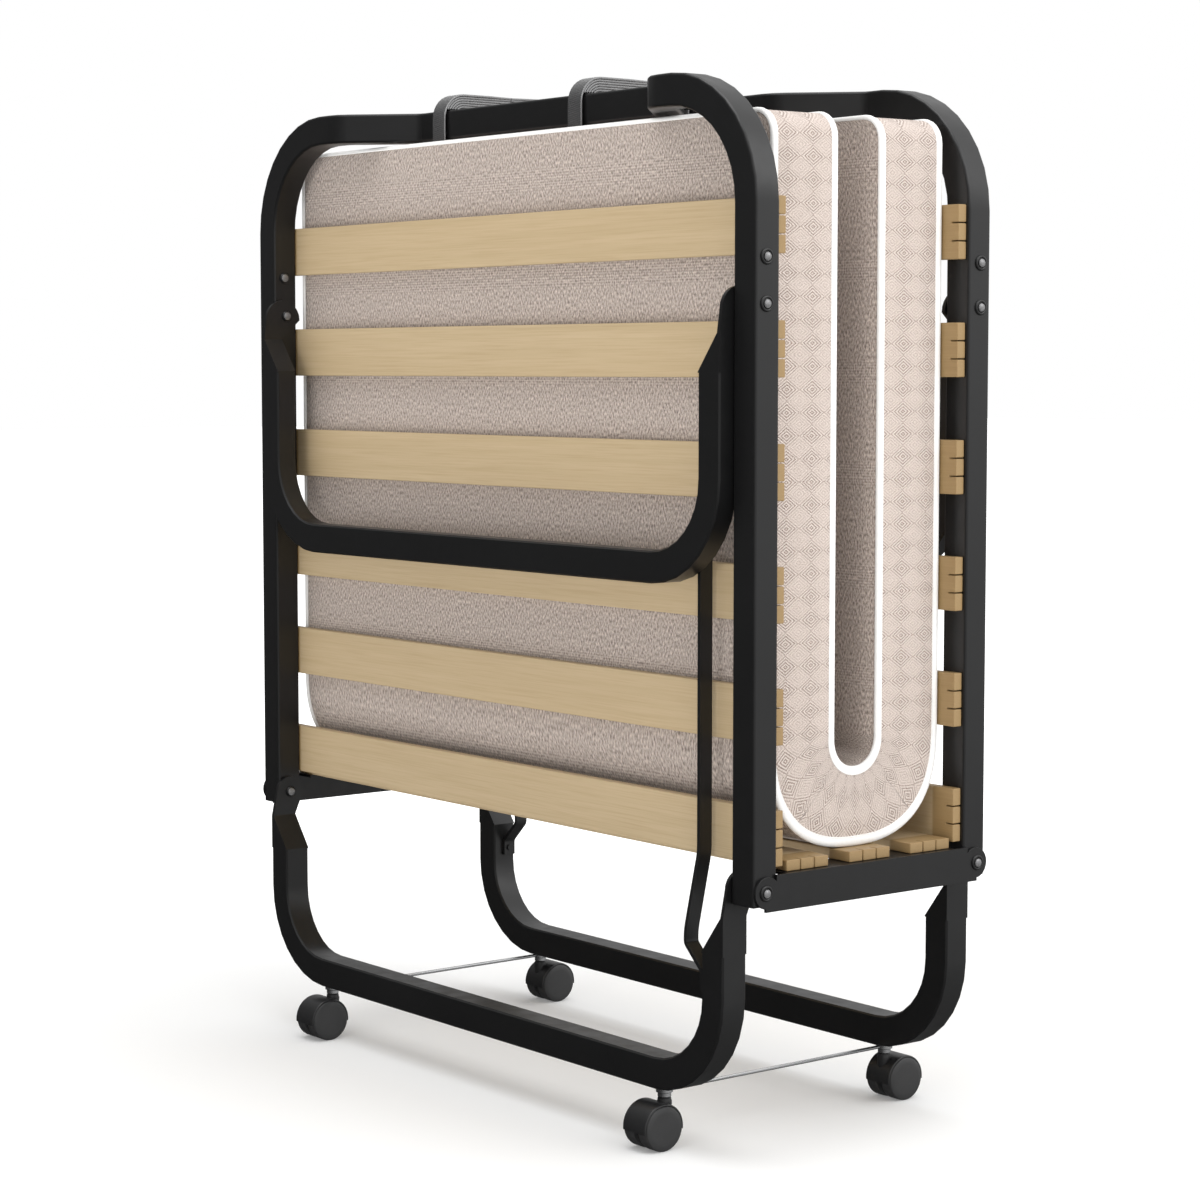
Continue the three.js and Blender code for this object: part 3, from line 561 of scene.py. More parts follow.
class Skin:
    """The mesh of one mattress half, as it grows."""

    def __init__(self):
        self.vertices, self.pins = [], []
        self.faces, self.uvs, self.slots = [], [], []

    def point(self, place, pinned):
        self.vertices.append(Vector(place))
        self.pins.append(pinned)

    def face(self, corners, uvs, slot):
        self.faces.append(corners)
        self.uvs.append(uvs)
        self.slots.append(slot)


def wrap_sides(skin, rows, ring):
    """The skin round the half, row by row, from the top end to the middle of the bend."""
    count = len(ring)
    for outer, inner, width, _ in rows:
        for across, through in ring:
            point = inner.lerp(outer, through)
            skin.point((across * width, point.y, point.z), abs(across) == 1 and through in (0, 1))
    for r in range(len(rows) - 1):
        for i in range(count):
            j = (i + 1) % count
            corners = ((r, i), (r, j), (r + 1, j), (r + 1, i))
            boxed = ring[i][0] == ring[j][0] and abs(ring[i][0]) == 1
            uvs = [ring_uv(rows, q, ring[k], boxed) for q, k in corners]
            skin.face(tuple(q * count + k for q, k in corners), uvs, BOXING_SLOT if boxed else PANEL_SLOT)


def close_end(skin, rows, ring):
    """The boxing across the top end, between the first row's two long runs."""
    count = len(ring)
    inner_run = [(2 * ACROSS + THROUGH - i) % count for i in range(ACROSS + 1)]
    grid = [[i] for i in range(ACROSS + 1)]
    top_outer, top_inner, top_width, _ = rows[0]
    for i in range(ACROSS + 1):
        for j in range(1, THROUGH):
            if i in (0, ACROSS):
                edge = (2 * ACROSS + 2 * THROUGH - j) if i == 0 else (ACROSS + j)
                grid[i].append(edge % count)
            else:
                point = top_outer.lerp(top_inner, j / THROUGH)
                grid[i].append(len(skin.vertices))
                skin.point(((-1 + 2 * i / ACROSS) * top_width, point.y, point.z), False)
        grid[i].append(inner_run[i])
        for index in (grid[i][0], grid[i][-1]):
            skin.pins[index] = True
    for i in range(ACROSS):
        for j in range(THROUGH):
            places = ((i, j), (i, j + 1), (i + 1, j + 1), (i + 1, j))
            corners = tuple(grid[a][b] for a, b in places)
            skin.face(corners, [end_uv(a, b) for a, b in places], BOXING_SLOT)


def mattress_half():
    """The front half as one closed cloth skin, its seams pinned, then puffed up a little."""
    rows = mattress_rows()
    ring = ring_places()
    skin = Skin()
    wrap_sides(skin, rows, ring)
    close_end(skin, rows, ring)
    last = (len(rows) - 1) * len(ring)
    for i in range(len(ring)):
        skin.pins[last + i] = True
    piece = make("mattress_front", skin.vertices, skin.faces, BOXING, skin.uvs)
    piece.data.materials.append(PANEL)
    piece.data.polygons.foreach_set("material_index", skin.slots)
    puff(piece, skin.pins, last, len(ring))
    return piece


def ring_uv(rows, row, place, boxed):
    across, through = place
    along = rows[row][3]
    if boxed:
        return (through * (OUTER_Y - INNER_Y), along)
    return (across * HALF_WIDTH, along)


def end_uv(i, j):
    width = OUTER_Y - INNER_Y
    return (width * (1 - j / THROUGH), (-1 + 2 * i / ACROSS) * (HALF_WIDTH - CORNER) + END_PATTERN_START)


def puff(piece, pins, last, count):
    """Cloth under light pressure between pinned seams, kept to a few millimetres along the normals."""
    mesh = piece.data
    fix_normals(piece)
    rest = points_of(mesh)
    normals = np.zeros(len(mesh.vertices) * 3)
    mesh.vertices.foreach_get("normal", normals)
    normals = normals.reshape(-1, 3)
    moved = rest.copy()
    moved = simulated(piece, pins, last, count)
    along = np.einsum("ij,ij->i", moved - rest, normals)
    within_sides = np.abs(rest[:, 0]) < HALF_WIDTH - SIDE_STRIP
    outward = np.where(within_sides & is_outer(rest), PUFF_ON_SLATS, PUFF_FREE)
    along = np.clip(along, -PUFF_IN, outward)
    ripple = np.array([noise.noise(Vector(p) * RIPPLE_SCALE) for p in rest]) * RIPPLE
    along = along + ripple * (outward > PUFF_ON_SLATS)
    along[np.array(pins)] = 0.0
    set_points(mesh, rest + normals * along[:, None])
    smooth = piece.modifiers.new("smooth", "SUBSURF")
    smooth.levels = smooth.render_levels = 1
    smooth.uv_smooth = "NONE"
    apply(piece, smooth.name)


def is_outer(points):
    """True for points of the face that lies on the slats."""
    side = np.abs(points[:, 1]) > OUTER_Y - ON_SLATS_DEPTH
    low = (points[:, 2] < BEND_Z) & (np.hypot(points[:, 1], points[:, 2] - BEND_Z) > ON_SLATS_REACH)
    return side | low


def simulated(piece, pins, last, count):
    """The mesh's points after a short cloth run on a copy."""
    copy = piece.copy()
    copy.data = piece.data.copy()
    bpy.context.scene.collection.objects.link(copy)
    cap = bmesh.new()
    cap.from_mesh(copy.data)
    cap.verts.ensure_lookup_table()
    cap.faces.new([cap.verts[last + i] for i in range(count)])
    cap.to_mesh(copy.data)
    cap.free()
    group = copy.vertex_groups.new(name="pinned")
    group.add([i for i, pinned in enumerate(pins) if pinned], 1.0, "REPLACE")
    cloth = copy.modifiers.new("cloth", "CLOTH")
    settings = cloth.settings
    settings.quality = 4
    settings.mass = 0.25
    settings.tension_stiffness = settings.compression_stiffness = 25
    settings.shear_stiffness = 12
    settings.bending_stiffness = 1.5
    settings.use_pressure = True
    settings.uniform_pressure_force = 4
    settings.vertex_group_mass = group.name
    settings.effector_weights.gravity = 0
    cloth.collision_settings.use_self_collision = False
    cloth.point_cache.frame_start = 1
    cloth.point_cache.frame_end = CLOTH_FRAMES
    for number in range(1, CLOTH_FRAMES + 1):
        bpy.context.scene.frame_set(number)
    evaluated = copy.evaluated_get(bpy.context.evaluated_depsgraph_get())
    shaped = evaluated.to_mesh()
    result = points_of(shaped)
    evaluated.to_mesh_clear()
    bpy.data.objects.remove(copy)
    bpy.context.scene.frame_set(1)
    return result


def points_of(mesh):
    flat = np.zeros(len(mesh.vertices) * 3)
    mesh.vertices.foreach_get("co", flat)
    return flat.reshape(-1, 3)


def set_points(mesh, points):
    mesh.vertices.foreach_set("co", np.asarray(points, float).ravel())
    mesh.update()


def fix_normals(piece):
    mesh = bmesh.new()
    mesh.from_mesh(piece.data)
    bmesh.ops.recalc_face_normals(mesh, faces=mesh.faces)
    mesh.to_mesh(piece.data)
    mesh.free()


def apply(piece, modifier):
    with bpy.context.temp_override(object=piece, active_object=piece, selected_objects=[piece]):
        bpy.ops.object.modifier_apply(modifier=modifier)


def parting():
    """The plane across the bend: a point on it and its direction along the mattress."""
    return Vector((0, 0, BEND_Z)), Vector((0, math.sin(PLANE_ANGLE), -math.cos(PLANE_ANGLE)))


def open_pattern(piece):
    """Gives the short row that stretches when a deck folds down the pattern of its full length."""
    point, way = parting()
    mesh = piece.data
    layer = mesh.uv_layers["cloth"].data
    for face in mesh.polygons:
        if face.material_index == BOXING_SLOT:
            shift = SPREAD_BOXING
        elif is_outer(np.array([face.center]))[0]:
            shift = SPREAD_PANEL_OUT
        else:
            shift = SPREAD_PANEL_IN
        for loop in face.loop_indices:
            where = mesh.vertices[mesh.loops[loop].vertex_index].co
            if (where - point).dot(way) > 0:
                layer[loop].uv.y += shift


def bind(piece, sign):
    """Turns a front piece for its half."""
    turned = Matrix.Rotation(0 if sign > 0 else math.pi, 4, "Z")
    piece.data.transform(turned)
    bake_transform(piece)


# The edge tape's section: (outward from the side, outward from the big face), round a closed loop.
TAPE = [
    (-0.0002, -0.0071), (0.0006, -0.0069), (0.0008, -0.0063), (0.0003, -0.0058),
    (0.0010, -0.0052), (0.0016, -0.0038), (0.0018, -0.0024), (0.0014, -0.0008),
    (0.0006, 0.0003), (-0.0007, 0.0008), (-0.0018, 0.0009), (-0.0027, 0.0006),
    (-0.0032, -0.0001), (-0.0034, -0.0010), (-0.0032, -0.0034), (-0.0019, -0.0062),
]


TAPE_STEPS = 40  # across the top end
TAPE_STEP = 0.0017  # round the section
TAPE_SWELL = 0.03
TAPE_SWELL_SCALE = 9
TAPE_BROADER = 0.3  # how much wider it is where the bend pulls it
BROADER_BY = 0.07


def tape_path(outer):
    """The route of one edge: (point, way out of the side, way out of the big face), down, up, across."""
    rows = mattress_rows()
    side = []
    for index in range(len(rows) - 1, -1, -1):
        edge = rows[index][0] if outer else rows[index][1]
        other = rows[index][1] if outer else rows[index][0]
        face = (edge - other).normalized()
        width = rows[index][2]
        drop = rows[index][3]
        out = Vector((1, 0, 0))
        if drop < CORNER:
            turn = math.acos(max(-1.0, min(1.0, 1 - drop / CORNER)))
            out = Vector((math.sin(turn), 0, math.cos(turn)))
        side.append((Vector((width, edge.y, edge.z)), out, face))
    end = side[-1]
    across = []
    for i in range(1, TAPE_STEPS):
        x = end[0].x * (1 - 2 * i / TAPE_STEPS)
        across.append((Vector((x, end[0].y, end[0].z)), Vector((0, 0, 1)), end[2]))
    mirrored = [(Vector((-p.x, p.y, p.z)), Vector((-o.x, o.y, o.z)), f) for p, o, f in reversed(side)]
    return side + across + mirrored


def tape(name, outer):
    path = tape_path(outer)
    vertices, faces, uvs = [], [], []
    count = len(TAPE)
    lengths = [0.0]
    for before, after in zip(path, path[1:]):
        lengths.append(lengths[-1] + (after[0] - before[0]).length)
    for k, (point, out, face) in enumerate(path):
        place = Vector((lengths[k] * TAPE_SWELL_SCALE, 3.0 if outer else 7.0, 0))
        swell = 1 + TAPE_SWELL * noise.noise(place)
        bend = max(0.0, min(1.0, (BEND_Z - point.z) / BROADER_BY))
        broad = 1 + TAPE_BROADER * bend
        for side, through in TAPE:
            vertices.append(point + out * side * swell + face * through * broad)
    for k in range(len(path) - 1):
        for i in range(count):
            j = (i + 1) % count
            corners = ((k, i), (k, j), (k + 1, j), (k + 1, i))
            faces.append(tuple(q * count + n for q, n in corners))
            wrap = [i, i + 1, i + 1, i]
            uvs.append([(TAPE_STEP * w, lengths[q]) for w, (q, _) in zip(wrap, corners)])
    piece = make(name, vertices, faces, PIPING, uvs)
    fix_normals(piece)
    return piece


def twin(piece, name):
    copy = piece.copy()
    copy.data = piece.data.copy()
    copy.name = name
    bpy.context.scene.collection.objects.link(copy)
    return copy


front_mattress = mattress_half()
open_pattern(front_mattress)
back_mattress = twin(front_mattress, "mattress_back")
for edge, outer in (("outer", True), ("inner", False)):
    front_tape = tape(f"mattress_tape_front_{edge}", outer)
    back_tape = twin(front_tape, f"mattress_tape_back_{edge}")
    bind(front_tape, 1)
    bind(back_tape, -1)
for piece, (half, sign) in zip((front_mattress, back_mattress), HALVES):
    bind(piece, sign)
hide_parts("front_mattress_panel", "mattress_bend")
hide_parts("back_mattress_panel", "mattress_bend")


# ---- Straps --------------------------------------------------------------------------------------

STRAP_HALF_WIDTH = 0.0113
STRAP_HALF_THICK = 0.0011
STRAP_CURVE = 0.026
STRAP_TURNS = 6  # spare turns packed under the outermost one
STRAP_PITCH = 0.0026
RAIL_REST = 1.0546  # middle of a band that lies on the rail
STRAP_TAIL_Z = 1.044  # where the hidden end stops behind the rail
STRAP_FRONT = 0.0906  # from the middle of the bed to the band in front of the rail
STRAP_BACK = 0.0538  # and to the band behind it
STRAP_FOLD = 0.0024
STRAP_INSET = 0.0013  # from the CAD strap's top and foot to the middle of the band
STRAP_LAP = 0.0004  # from the middle of the bed to a half's end
STRAP_DIP_Y = 0.0295
STRAP_DIP = 0.0006
STRAP_DIP_CURVE = 0.05
STRAP_STEP = 0.005
PACKED_STEPS = 12
SPARE_NARROWER = 0.0006
SPARE_DRIFT = 0.0004
BAND_DRIFT = 0.015
BAND_DRIFT_SCALE = 30
HARD_EDGE = 0.9
WEBBING_SECTION = [
    (-1.0, -0.4), (-0.96, -1.0), (-0.5, -1.0), (0.0, -1.0), (0.5, -1.0), (0.96, -1.0), (1.0, -0.4),
    (1.0, 0.4), (0.96, 1.0), (0.5, 1.0), (0.0, 1.0), (-0.5, 1.0), (-0.96, 1.0), (-1.0, 0.4),
]


def rounded(corners, radii, steps=8):
    """A route in the YZ plane through corners, each rounded to its radius."""
    points = [Vector(corners[0])]
    for before, corner, after, radius in zip(corners, corners[1:], corners[2:], radii):
        before, corner, after = Vector(before), Vector(corner), Vector(after)
        a = (before - corner).normalized()
        b = (after - corner).normalized()
        half = a.angle(b) / 2
        reach = radius / math.tan(half)
        centre = corner + (a + b).normalized() * (radius / math.sin(half))
        first = corner + a * reach - centre
        last = corner + b * reach - centre
        turn = first.angle(last)
        for i in range(steps + 1):
            t = i / steps
            mixed = (first * math.sin((1 - t) * turn) + last * math.sin(t * turn)) / math.sin(turn)
            points.append(centre + mixed)
    points.append(Vector(corners[-1]))
    return points


def packed_turn(number, top):
    """A spare turn under the outermost one, from the middle of the bed to the top of the rail."""
    radius = STRAP_CURVE - STRAP_PITCH * number
    centre = Vector((0, -STRAP_FRONT + STRAP_CURVE, top - STRAP_CURVE))
    end = math.acos((RAIL_REST - centre.z) / radius)
    route = [Vector((0, -STRAP_LAP, centre.z + radius))]
    for i in range(PACKED_STEPS + 1):
        turn = end * i / PACKED_STEPS
        route.append(centre + Vector((0, -math.sin(turn), math.cos(turn))) * radius)
    return list(reversed(route))


def band(route, half_width, seed):
    """Vertices, faces and UVs of a strip of webbing along a route in the YZ plane."""
    vertices, faces, uvs = [], [], []
    lengths = [0.0]
    for before, after in zip(route, route[1:]):
        lengths.append(lengths[-1] + (after - before).length)
    for k, point in enumerate(route):
        way = (route[min(k + 1, len(route) - 1)] - route[max(k - 1, 0)]).normalized()
        up = Vector((0, -way.z, way.y))
        bow = 1 + BAND_DRIFT * noise.noise(Vector((lengths[k] * BAND_DRIFT_SCALE, seed, 0)))
        for across, thick in WEBBING_SECTION:
            side = Vector((across * half_width * bow, 0, 0))
            vertices.append(point + side + up * thick * STRAP_HALF_THICK)
    count = len(WEBBING_SECTION)
    for k in range(len(route) - 1):
        for i in range(count):
            j = (i + 1) % count
            corners = ((k, i), (k, j), (k + 1, j), (k + 1, i))
            faces.append(tuple(q * count + n for q, n in corners))
            uvs.append([(WEBBING_SECTION[n][0] * STRAP_HALF_WIDTH, lengths[q]) for q, n in corners])
    for start in (0, (len(route) - 1) * count):
        faces.append(tuple(start + i for i in range(count)))
        uvs.append([(a * STRAP_HALF_WIDTH, t * STRAP_HALF_THICK) for a, t in WEBBING_SECTION])
    return vertices, faces, uvs


def strap_route(top, foot):
    """One half's outer turn: up behind the rail, under it, up in front and over to the middle."""
    corners = [
        (0, -STRAP_BACK, STRAP_TAIL_Z), (0, -STRAP_BACK, foot), (0, -STRAP_FRONT, foot),
        (0, -STRAP_FRONT, top), (0, -STRAP_DIP_Y, top), (0, -STRAP_LAP, top - STRAP_DIP),
    ]
    route = rounded(corners, [STRAP_FOLD, STRAP_FOLD, STRAP_CURVE, STRAP_DIP_CURVE])
    fine = [route[0]]
    for before, after in zip(route, route[1:]):
        pieces = max(1, int((after - before).length / STRAP_STEP))
        fine.extend(before.lerp(after, i / pieces) for i in range(1, pieces + 1))
    return fine


def narrower(number, index, sign):
    """How much narrower on each side a spare turn is than the outer one."""
    if number == 0:
        return 0.0
    return SPARE_NARROWER + SPARE_DRIFT * noise.noise(Vector((number * 1.7, index * 5.0, sign)))


def strap(half, index, sign):
    name = f"{half}_strap_{index}"
    centre, low, high = middle(name)
    top = high.z - STRAP_INSET
    turns = [strap_route(top, low.z + STRAP_INSET)]
    turns += [packed_turn(number, top) for number in range(1, STRAP_TURNS + 1)]
    vertices, faces, uvs = [], [], []
    for number, turn in enumerate(turns):
        shift = len(vertices)
        half_width = STRAP_HALF_WIDTH - narrower(number, index, sign)
        band_vertices, band_faces, band_uvs = band(turn, half_width, index * 5.0 + number)
        vertices.extend(Vector((centre.x + v.x, sign * v.y, v.z)) for v in band_vertices)
        faces.extend(tuple(i + shift for i in face) for face in band_faces)
        uvs.extend(band_uvs)
    piece = make(f"webbing_{name}", vertices, faces, WEBBING, uvs)
    fix_normals(piece)
    sharpen(piece, HARD_EDGE)
    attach(piece, f"{half}_deck")
    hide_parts(name)


for half, sign in HALVES:
    for index in (1, 2):
        strap(half, index, sign)


# ---- Rivets --------------------------------------------------------------------------------------

HEAD_RADIUS = 0.0062
HEAD_HEIGHT = 0.0034
HEAD_STEPS = 8
HEAD_TIP = 0.00002
CORE_RADIUS = 0.0042
CORE_FOOT = 0.0015
RIVET_SHANK = 0.0038
RIVET_SIDES = 40
# The painted rim round the bare core: (radius, height above the tube).
RIM = [
    (0.0044, 0.0006), (0.0049, 0.0005), (0.0055, 0.0013), (0.0063, 0.0016),
    (0.0072, 0.0013), (0.0077, 0.0006), (0.0078, -0.0002),
]


def head_profile(face, way, rimmed):
    """A domed head that stands off a face at that height, away along way."""
    profile = []
    width = CORE_RADIUS if rimmed else HEAD_RADIUS
    foot = CORE_FOOT if rimmed else 0.0
    for i in range(HEAD_STEPS + 1):
        turn = math.pi / 2 * i / HEAD_STEPS
        height = foot + (HEAD_HEIGHT - foot) * math.cos(turn)
        profile.append((max(width * math.sin(turn), HEAD_TIP), face + way * height))
    if rimmed:
        profile += [(radius, face + way * height) for radius, height in RIM]
    return profile


def rivet(name, body):
    centre, low, high = middle(name)
    inner = low.x + HEAD_HEIGHT
    outer = high.x - HEAD_HEIGHT
    right = centre.x > 0
    first = head_profile(inner, -1, not right)
    second = head_profile(outer, 1, right)
    profile = first + [(RIVET_SHANK, inner), (RIVET_SHANK, outer)] + list(reversed(second))
    turned = lathe(profile, RIVET_SIDES, "x", (0, centre.y, centre.z))
    piece = joined(f"{name}_domed", [turned], RIVET)
    piece.data.materials.append(PAINT)
    for face in piece.data.polygons:
        reach = math.hypot(face.center.y - centre.y, face.center.z - centre.z)
        face.material_index = 1 if reach > CORE_RADIUS else 0
    sharpen(piece, HARD_EDGE)
    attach(piece, body)
    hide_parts(name)


for half, _ in HALVES:
    for side in SIDES:
        rivet(f"{half}_{side}_hinge_rivet", "base")
        rivet(f"{half}_{side}_leg_rivet", f"{half}_deck")
        rivet(f"{half}_{side}_stop_rivet", f"{half}_deck")


# ---- Casters -------------------------------------------------------------------------------------


def arc(centre, radius, start, end, steps):
    """(radius, height) pairs round part of a circle in a lathe's section."""
    made = []
    for i in range(steps + 1):
        turn = start + (end - start) * i / steps
        made.append((centre[0] + radius * math.sin(turn), centre[1] + radius * math.cos(turn)))
    return made


WHEEL_GAP = 0.0039  # from the middle of the caster to a wheel's inner face
WHEEL_BORE = 0.004
WHEEL_RIM = 0.0022
WHEEL_INNER_RIM = 0.0014
WHEEL_INNER_FACE = 0.0016
WHEEL_DOME = 0.0009
WHEEL_DOME_PLACES = (0.86, 0.7, 0.5, 0.3, 0.14, 0.001)
WHEEL_SIDES = 56
AXLE = (0.0039, 0.006)  # radius, half length
AXLE_SIDES = 24
DRUM_RADIUS = 0.0240
HOOD_RADIUS = 0.0248
HOOD_HALF = 0.0176
HOOD_WALL = 0.0014
HOOD_LIP = 0.0016
HOOD_START = -0.12
HOOD_SPAN = math.pi + 0.24
HOOD_SIDES = 44
WEB_HALF = 0.0032
WEB_RADIUS = 0.0085
BOSS_OFFSET = 0.0145
BOSS_TOP = 0.027
BOSS_BORE = 0.0045
BOSS_SIDES = 40
COLLAR_FOOT = 0.0501
COLLAR_TOP = 0.0547
COLLAR_RADIUS = 0.0068
COLLAR_CHAMFER = 0.0006
STEM_SHANK = 0.0039
STEM_CHAMFER = 0.0008
STEM_PIN = 0.0019
STEM_SHOULDER = 0.0449
STEM_SIDES = 32
MOULDED_EDGE = 0.7


def wheels(name, body):
    centre, low, high = middle(name)
    radius = (high.z - low.z) / 2
    half = (high.x - low.x) / 2
    parts = []
    inner_rim = (radius - WHEEL_INNER_RIM, WHEEL_GAP + WHEEL_INNER_RIM)
    profile = [(WHEEL_BORE, WHEEL_GAP), (radius - WHEEL_INNER_FACE, WHEEL_GAP)]
    profile += arc(inner_rim, WHEEL_INNER_RIM, math.pi, math.pi / 2, 3)[1:]
    profile += arc((radius - WHEEL_RIM, half - WHEEL_RIM), WHEEL_RIM, math.pi / 2, 0, 5)
    profile += [(radius * k, half + WHEEL_DOME * (1 - k * k) ** 0.5) for k in WHEEL_DOME_PLACES]
    for way in (-1, 1):
        placed = [(r, way * h) for r, h in profile]
        parts.append(lathe(placed, WHEEL_SIDES, "x", centre))
    axle_radius, axle_half = AXLE
    parts.append(lathe([(axle_radius, -axle_half), (axle_radius, axle_half)], AXLE_SIDES, "x", centre))
    piece = joined(f"{name}_twin", parts, WHEEL)
    sharpen(piece, MOULDED_EDGE)
    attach(piece, body)
    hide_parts(name)
    return centre


def hood(name, body, centre, sign):
    """The shell over the wheels, the web between them, and the boss that the stem stands in."""
    inner = HOOD_RADIUS - HOOD_WALL
    lip_radius = HOOD_RADIUS - HOOD_LIP
    lip_place = HOOD_HALF - HOOD_LIP
    profile = [(inner, -HOOD_HALF + 0.0002), (inner, HOOD_HALF - 0.0002)]
    profile += arc((lip_radius, lip_place), HOOD_LIP, 0, math.pi / 2, 4)
    profile += arc((lip_radius, -lip_place), HOOD_LIP, math.pi / 2, math.pi, 4)
    profile.append(profile[0])
    shell = lathe(profile, HOOD_SIDES, "x", centre, HOOD_SPAN, HOOD_START)
    outer = inner + 0.0004
    web = [(WEB_RADIUS, -WEB_HALF), (outer, -WEB_HALF), (outer, WEB_HALF), (WEB_RADIUS, WEB_HALF)]
    web.append(web[0])
    middle_web = lathe(web, HOOD_SIDES, "x", centre, HOOD_SPAN, HOOD_START)
    top = centre.z + BOSS_TOP
    boss = [
        (BOSS_BORE, top), (0.0062, top), (0.0067, top - 0.0005), (0.0069, top - 0.0022),
        (0.0076, top - 0.0046), (0.0069, centre.z + 0.004), (BOSS_BORE, centre.z + 0.003), (BOSS_BORE, top),
    ]
    neck = lathe(boss, BOSS_SIDES, "z", (centre.x, centre.y + sign * BOSS_OFFSET, 0))
    for vertex in neck[0]:
        # The boss stands on the shell and stays clear of the drum that the wheels turn in.
        along = vertex.y - centre.y
        vertex.z = max(vertex.z, centre.z + math.sqrt(max(0.0, DRUM_RADIUS**2 - along**2)))
    piece = joined(f"{name}_moulded", [shell, middle_web, neck], HOOD)
    sharpen(piece)
    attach(piece, body)
    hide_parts(name)


def stem(name, body):
    """The shank up into the tube, the collar under it, and the pin down to the hood."""
    centre, low, high = middle(name)
    soft = COLLAR_RADIUS - COLLAR_CHAMFER
    profile = [
        (HEAD_TIP, low.z), (STEM_PIN, low.z), (STEM_PIN, STEM_SHOULDER),
        (STEM_SHANK, STEM_SHOULDER), (STEM_SHANK, COLLAR_FOOT),
        (soft, COLLAR_FOOT), (COLLAR_RADIUS, COLLAR_FOOT + COLLAR_CHAMFER),
        (COLLAR_RADIUS, COLLAR_TOP - COLLAR_CHAMFER), (soft, COLLAR_TOP),
        (STEM_SHANK, COLLAR_TOP), (STEM_SHANK, high.z - STEM_CHAMFER),
        (STEM_SHANK - STEM_CHAMFER, high.z), (HEAD_TIP, high.z),
    ]
    turned = lathe(profile, STEM_SIDES, "z", (centre.x, centre.y, 0))
    piece = joined(f"{name}_turned", [turned], ZINC)
    sharpen(piece)
    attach(piece, body)
    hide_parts(name)


for half, sign in HALVES:
    for side in SIDES:
        label = f"{half}_{side}"
        hub = wheels(f"{label}_caster_wheels", f"{label}_wheels")
        hood(f"{label}_caster_hood", f"{label}_fork", hub, sign)
        stem(f"{label}_caster_stem", "base")


# ---- Floor, light and camera ---------------------------------------------------------------------

FLOOR_SIZE = 60
FLOOR_FADE = (0.7, 2.0)  # from the bed's middle: where the floor starts to brighten and is brightest
FLOOR_GLOW = (0.16, 0.75)
LIGHT_FROM = (0.60, 0.50, 0.60)
LIGHT_RANGE = (-0.75, 0.95, 0.12, 1.18)  # cosines to that direction, and the strengths there
LOW_RANGE = (-0.30, 0.14, 0.35, 1.0)  # heights on the sky, and the share of the light left there
CAMERA_PLACE = (2.4826, -1.9410, 0.7703)
CAMERA_PITCH = -4.59
CAMERA_YAW = 51.9
CAMERA_LENS = 86.8
CAMERA_SENSOR = 36
CAMERA_REACH = 100


def pale_floor():
    """Matt and nearly white. It glows a little, and more further out, so it meets the backdrop."""
    f = Finish("studio_floor")
    pale = f.noise(f.position(), 0.6, 2.0)
    x, y, _ = f.axes(f.position())
    reach = f.math("SQRT", f.math("MULTIPLY_ADD", x, x, f.math("MULTIPLY", y, y)))
    f.set(Base_Color=f.mix(pale, rgb(0.78, 0.78, 0.775), rgb(0.80, 0.80, 0.795)), Roughness=0.9)
    f.set(Specular_IOR_Level=0.0, Emission_Color=rgb(1.0, 1.0, 1.0))
    f.set(Emission_Strength=f.spread(reach, *FLOOR_FADE, *FLOOR_GLOW))
    return f.material


bpy.ops.mesh.primitive_plane_add(size=FLOOR_SIZE, location=(0, 0, 0))
floor = bpy.context.object
floor.name = "studio_floor"
floor.data.materials.append(pale_floor())
floor.visible_glossy = False


def ramp_node(tree, value, limits):
    """A smooth ramp of value. limits: from low, from high, to low, to high."""
    ramp = tree.nodes.new("ShaderNodeMapRange")
    ramp.interpolation_type = "SMOOTHSTEP"
    tree.links.new(value, ramp.inputs[0])
    for socket, limit in zip(ramp.inputs[1:5], limits):
        socket.default_value = limit
    return ramp.outputs[0]


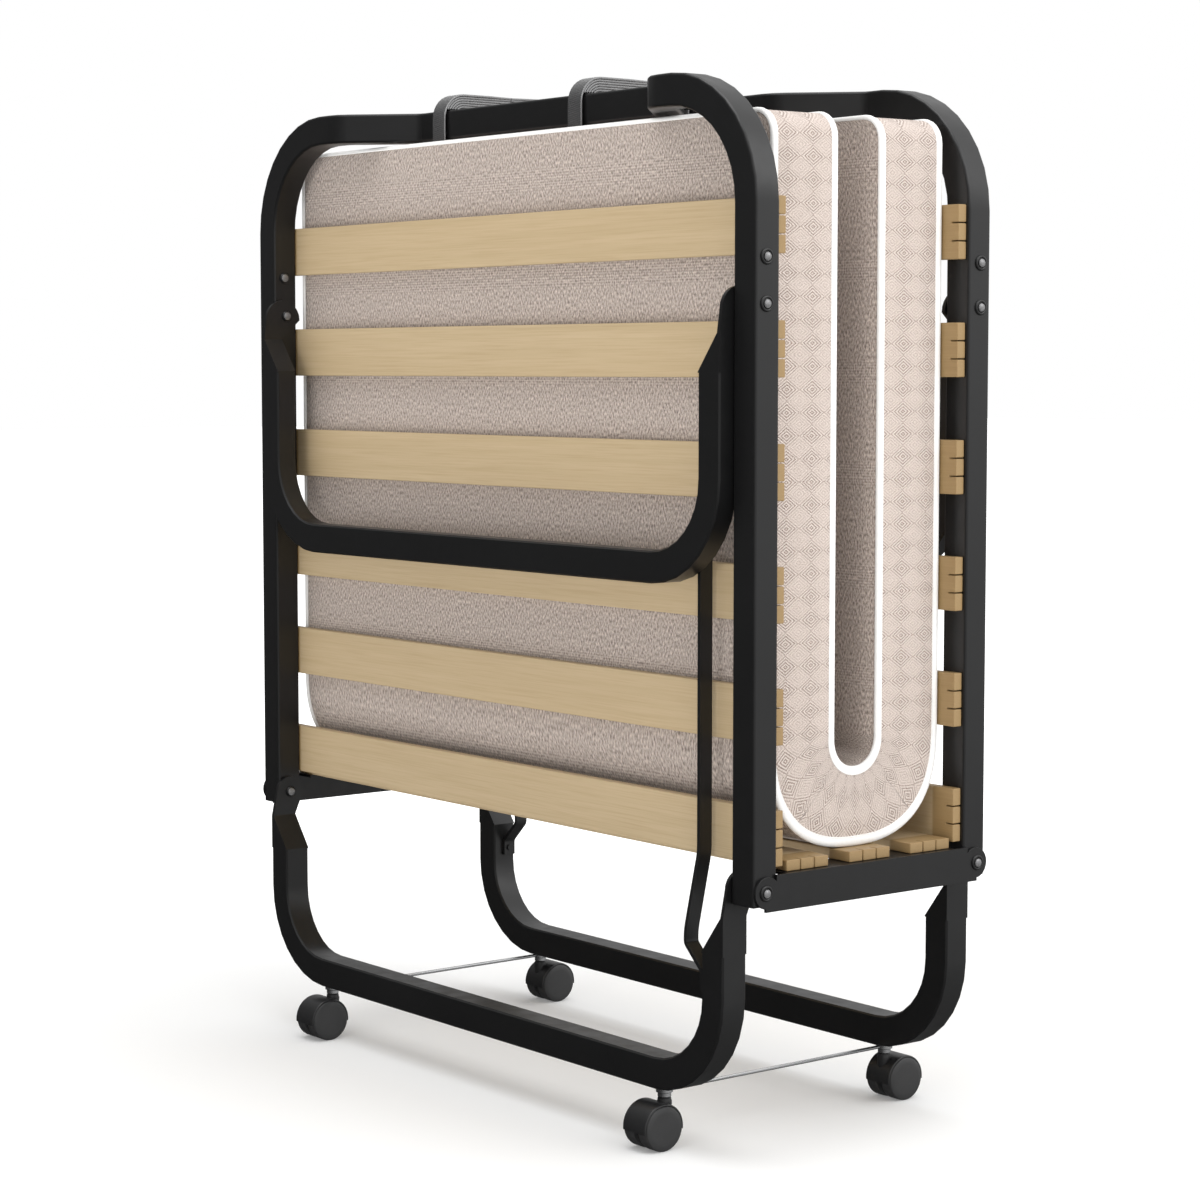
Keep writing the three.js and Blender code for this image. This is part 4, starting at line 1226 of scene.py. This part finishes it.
def studio_world():
    """A white backdrop, and soft light that is strongest from the right and above."""
    world = bpy.data.worlds.new("studio")
    world.use_nodes = True
    tree = world.node_tree
    glow = tree.nodes["Background"]
    output = tree.nodes["World Output"]
    place = tree.nodes.new("ShaderNodeTexCoord")
    toward = tree.nodes.new("ShaderNodeVectorMath")
    toward.operation = "DOT_PRODUCT"
    toward.inputs[1].default_value = Vector(LIGHT_FROM).normalized()
    tree.links.new(place.outputs["Generated"], toward.inputs[0])
    height = tree.nodes.new("ShaderNodeSeparateXYZ")
    tree.links.new(place.outputs["Generated"], height.inputs[0])
    both = tree.nodes.new("ShaderNodeMath")
    both.operation = "MULTIPLY"
    tree.links.new(ramp_node(tree, toward.outputs["Value"], LIGHT_RANGE), both.inputs[0])
    tree.links.new(ramp_node(tree, height.outputs["Z"], LOW_RANGE), both.inputs[1])
    tree.links.new(both.outputs[0], glow.inputs["Strength"])
    backdrop = tree.nodes.new("ShaderNodeBackground")
    path = tree.nodes.new("ShaderNodeLightPath")
    either = tree.nodes.new("ShaderNodeMixShader")
    tree.links.new(path.outputs["Is Camera Ray"], either.inputs[0])
    tree.links.new(glow.outputs[0], either.inputs[1])
    tree.links.new(backdrop.outputs[0], either.inputs[2])
    tree.links.new(either.outputs[0], output.inputs["Surface"])
    for background in (glow, backdrop):
        background.inputs["Color"].default_value = rgb(1.0, 1.0, 1.0)
    bpy.context.scene.world = world


studio_world()
bpy.context.scene.view_settings.view_transform = "Standard"


def soft_light(name, place, target, size, watts, mirrored=True):
    """An area lamp turned toward target. With mirrored off it makes no highlights."""
    lamp = bpy.data.lights.new(name, "AREA")
    lamp.shape = "RECTANGLE"
    lamp.size, lamp.size_y = size
    lamp.energy = watts
    holder = bpy.data.objects.new(name, lamp)
    holder.location = place
    away = Vector(place) - Vector(target)
    holder.rotation_euler = away.to_track_quat("Z", "Y").to_euler()
    holder.visible_camera = False
    holder.visible_glossy = mirrored
    bpy.context.scene.collection.objects.link(holder)


soft_light("key", (3.0, 1.4, 2.8), (0, 0, 0.55), (2.4, 2.4), 38)
soft_light("top", (0.2, -0.6, 4.2), (0, 0, 0.4), (3.4, 3.4), 75)
soft_light("front", (1.5, -4.1, 0.9), (0, 0, 0.5), (1.4, 1.6), 33, mirrored=False)

view = bpy.data.cameras.new("view")
view.lens = CAMERA_LENS
view.sensor_width = CAMERA_SENSOR
view.clip_end = CAMERA_REACH
camera = bpy.data.objects.new("view", view)
camera.location = CAMERA_PLACE
camera.rotation_euler = (math.radians(90 + CAMERA_PITCH), 0, math.radians(CAMERA_YAW))
bpy.context.scene.collection.objects.link(camera)
bpy.context.scene.camera = camera
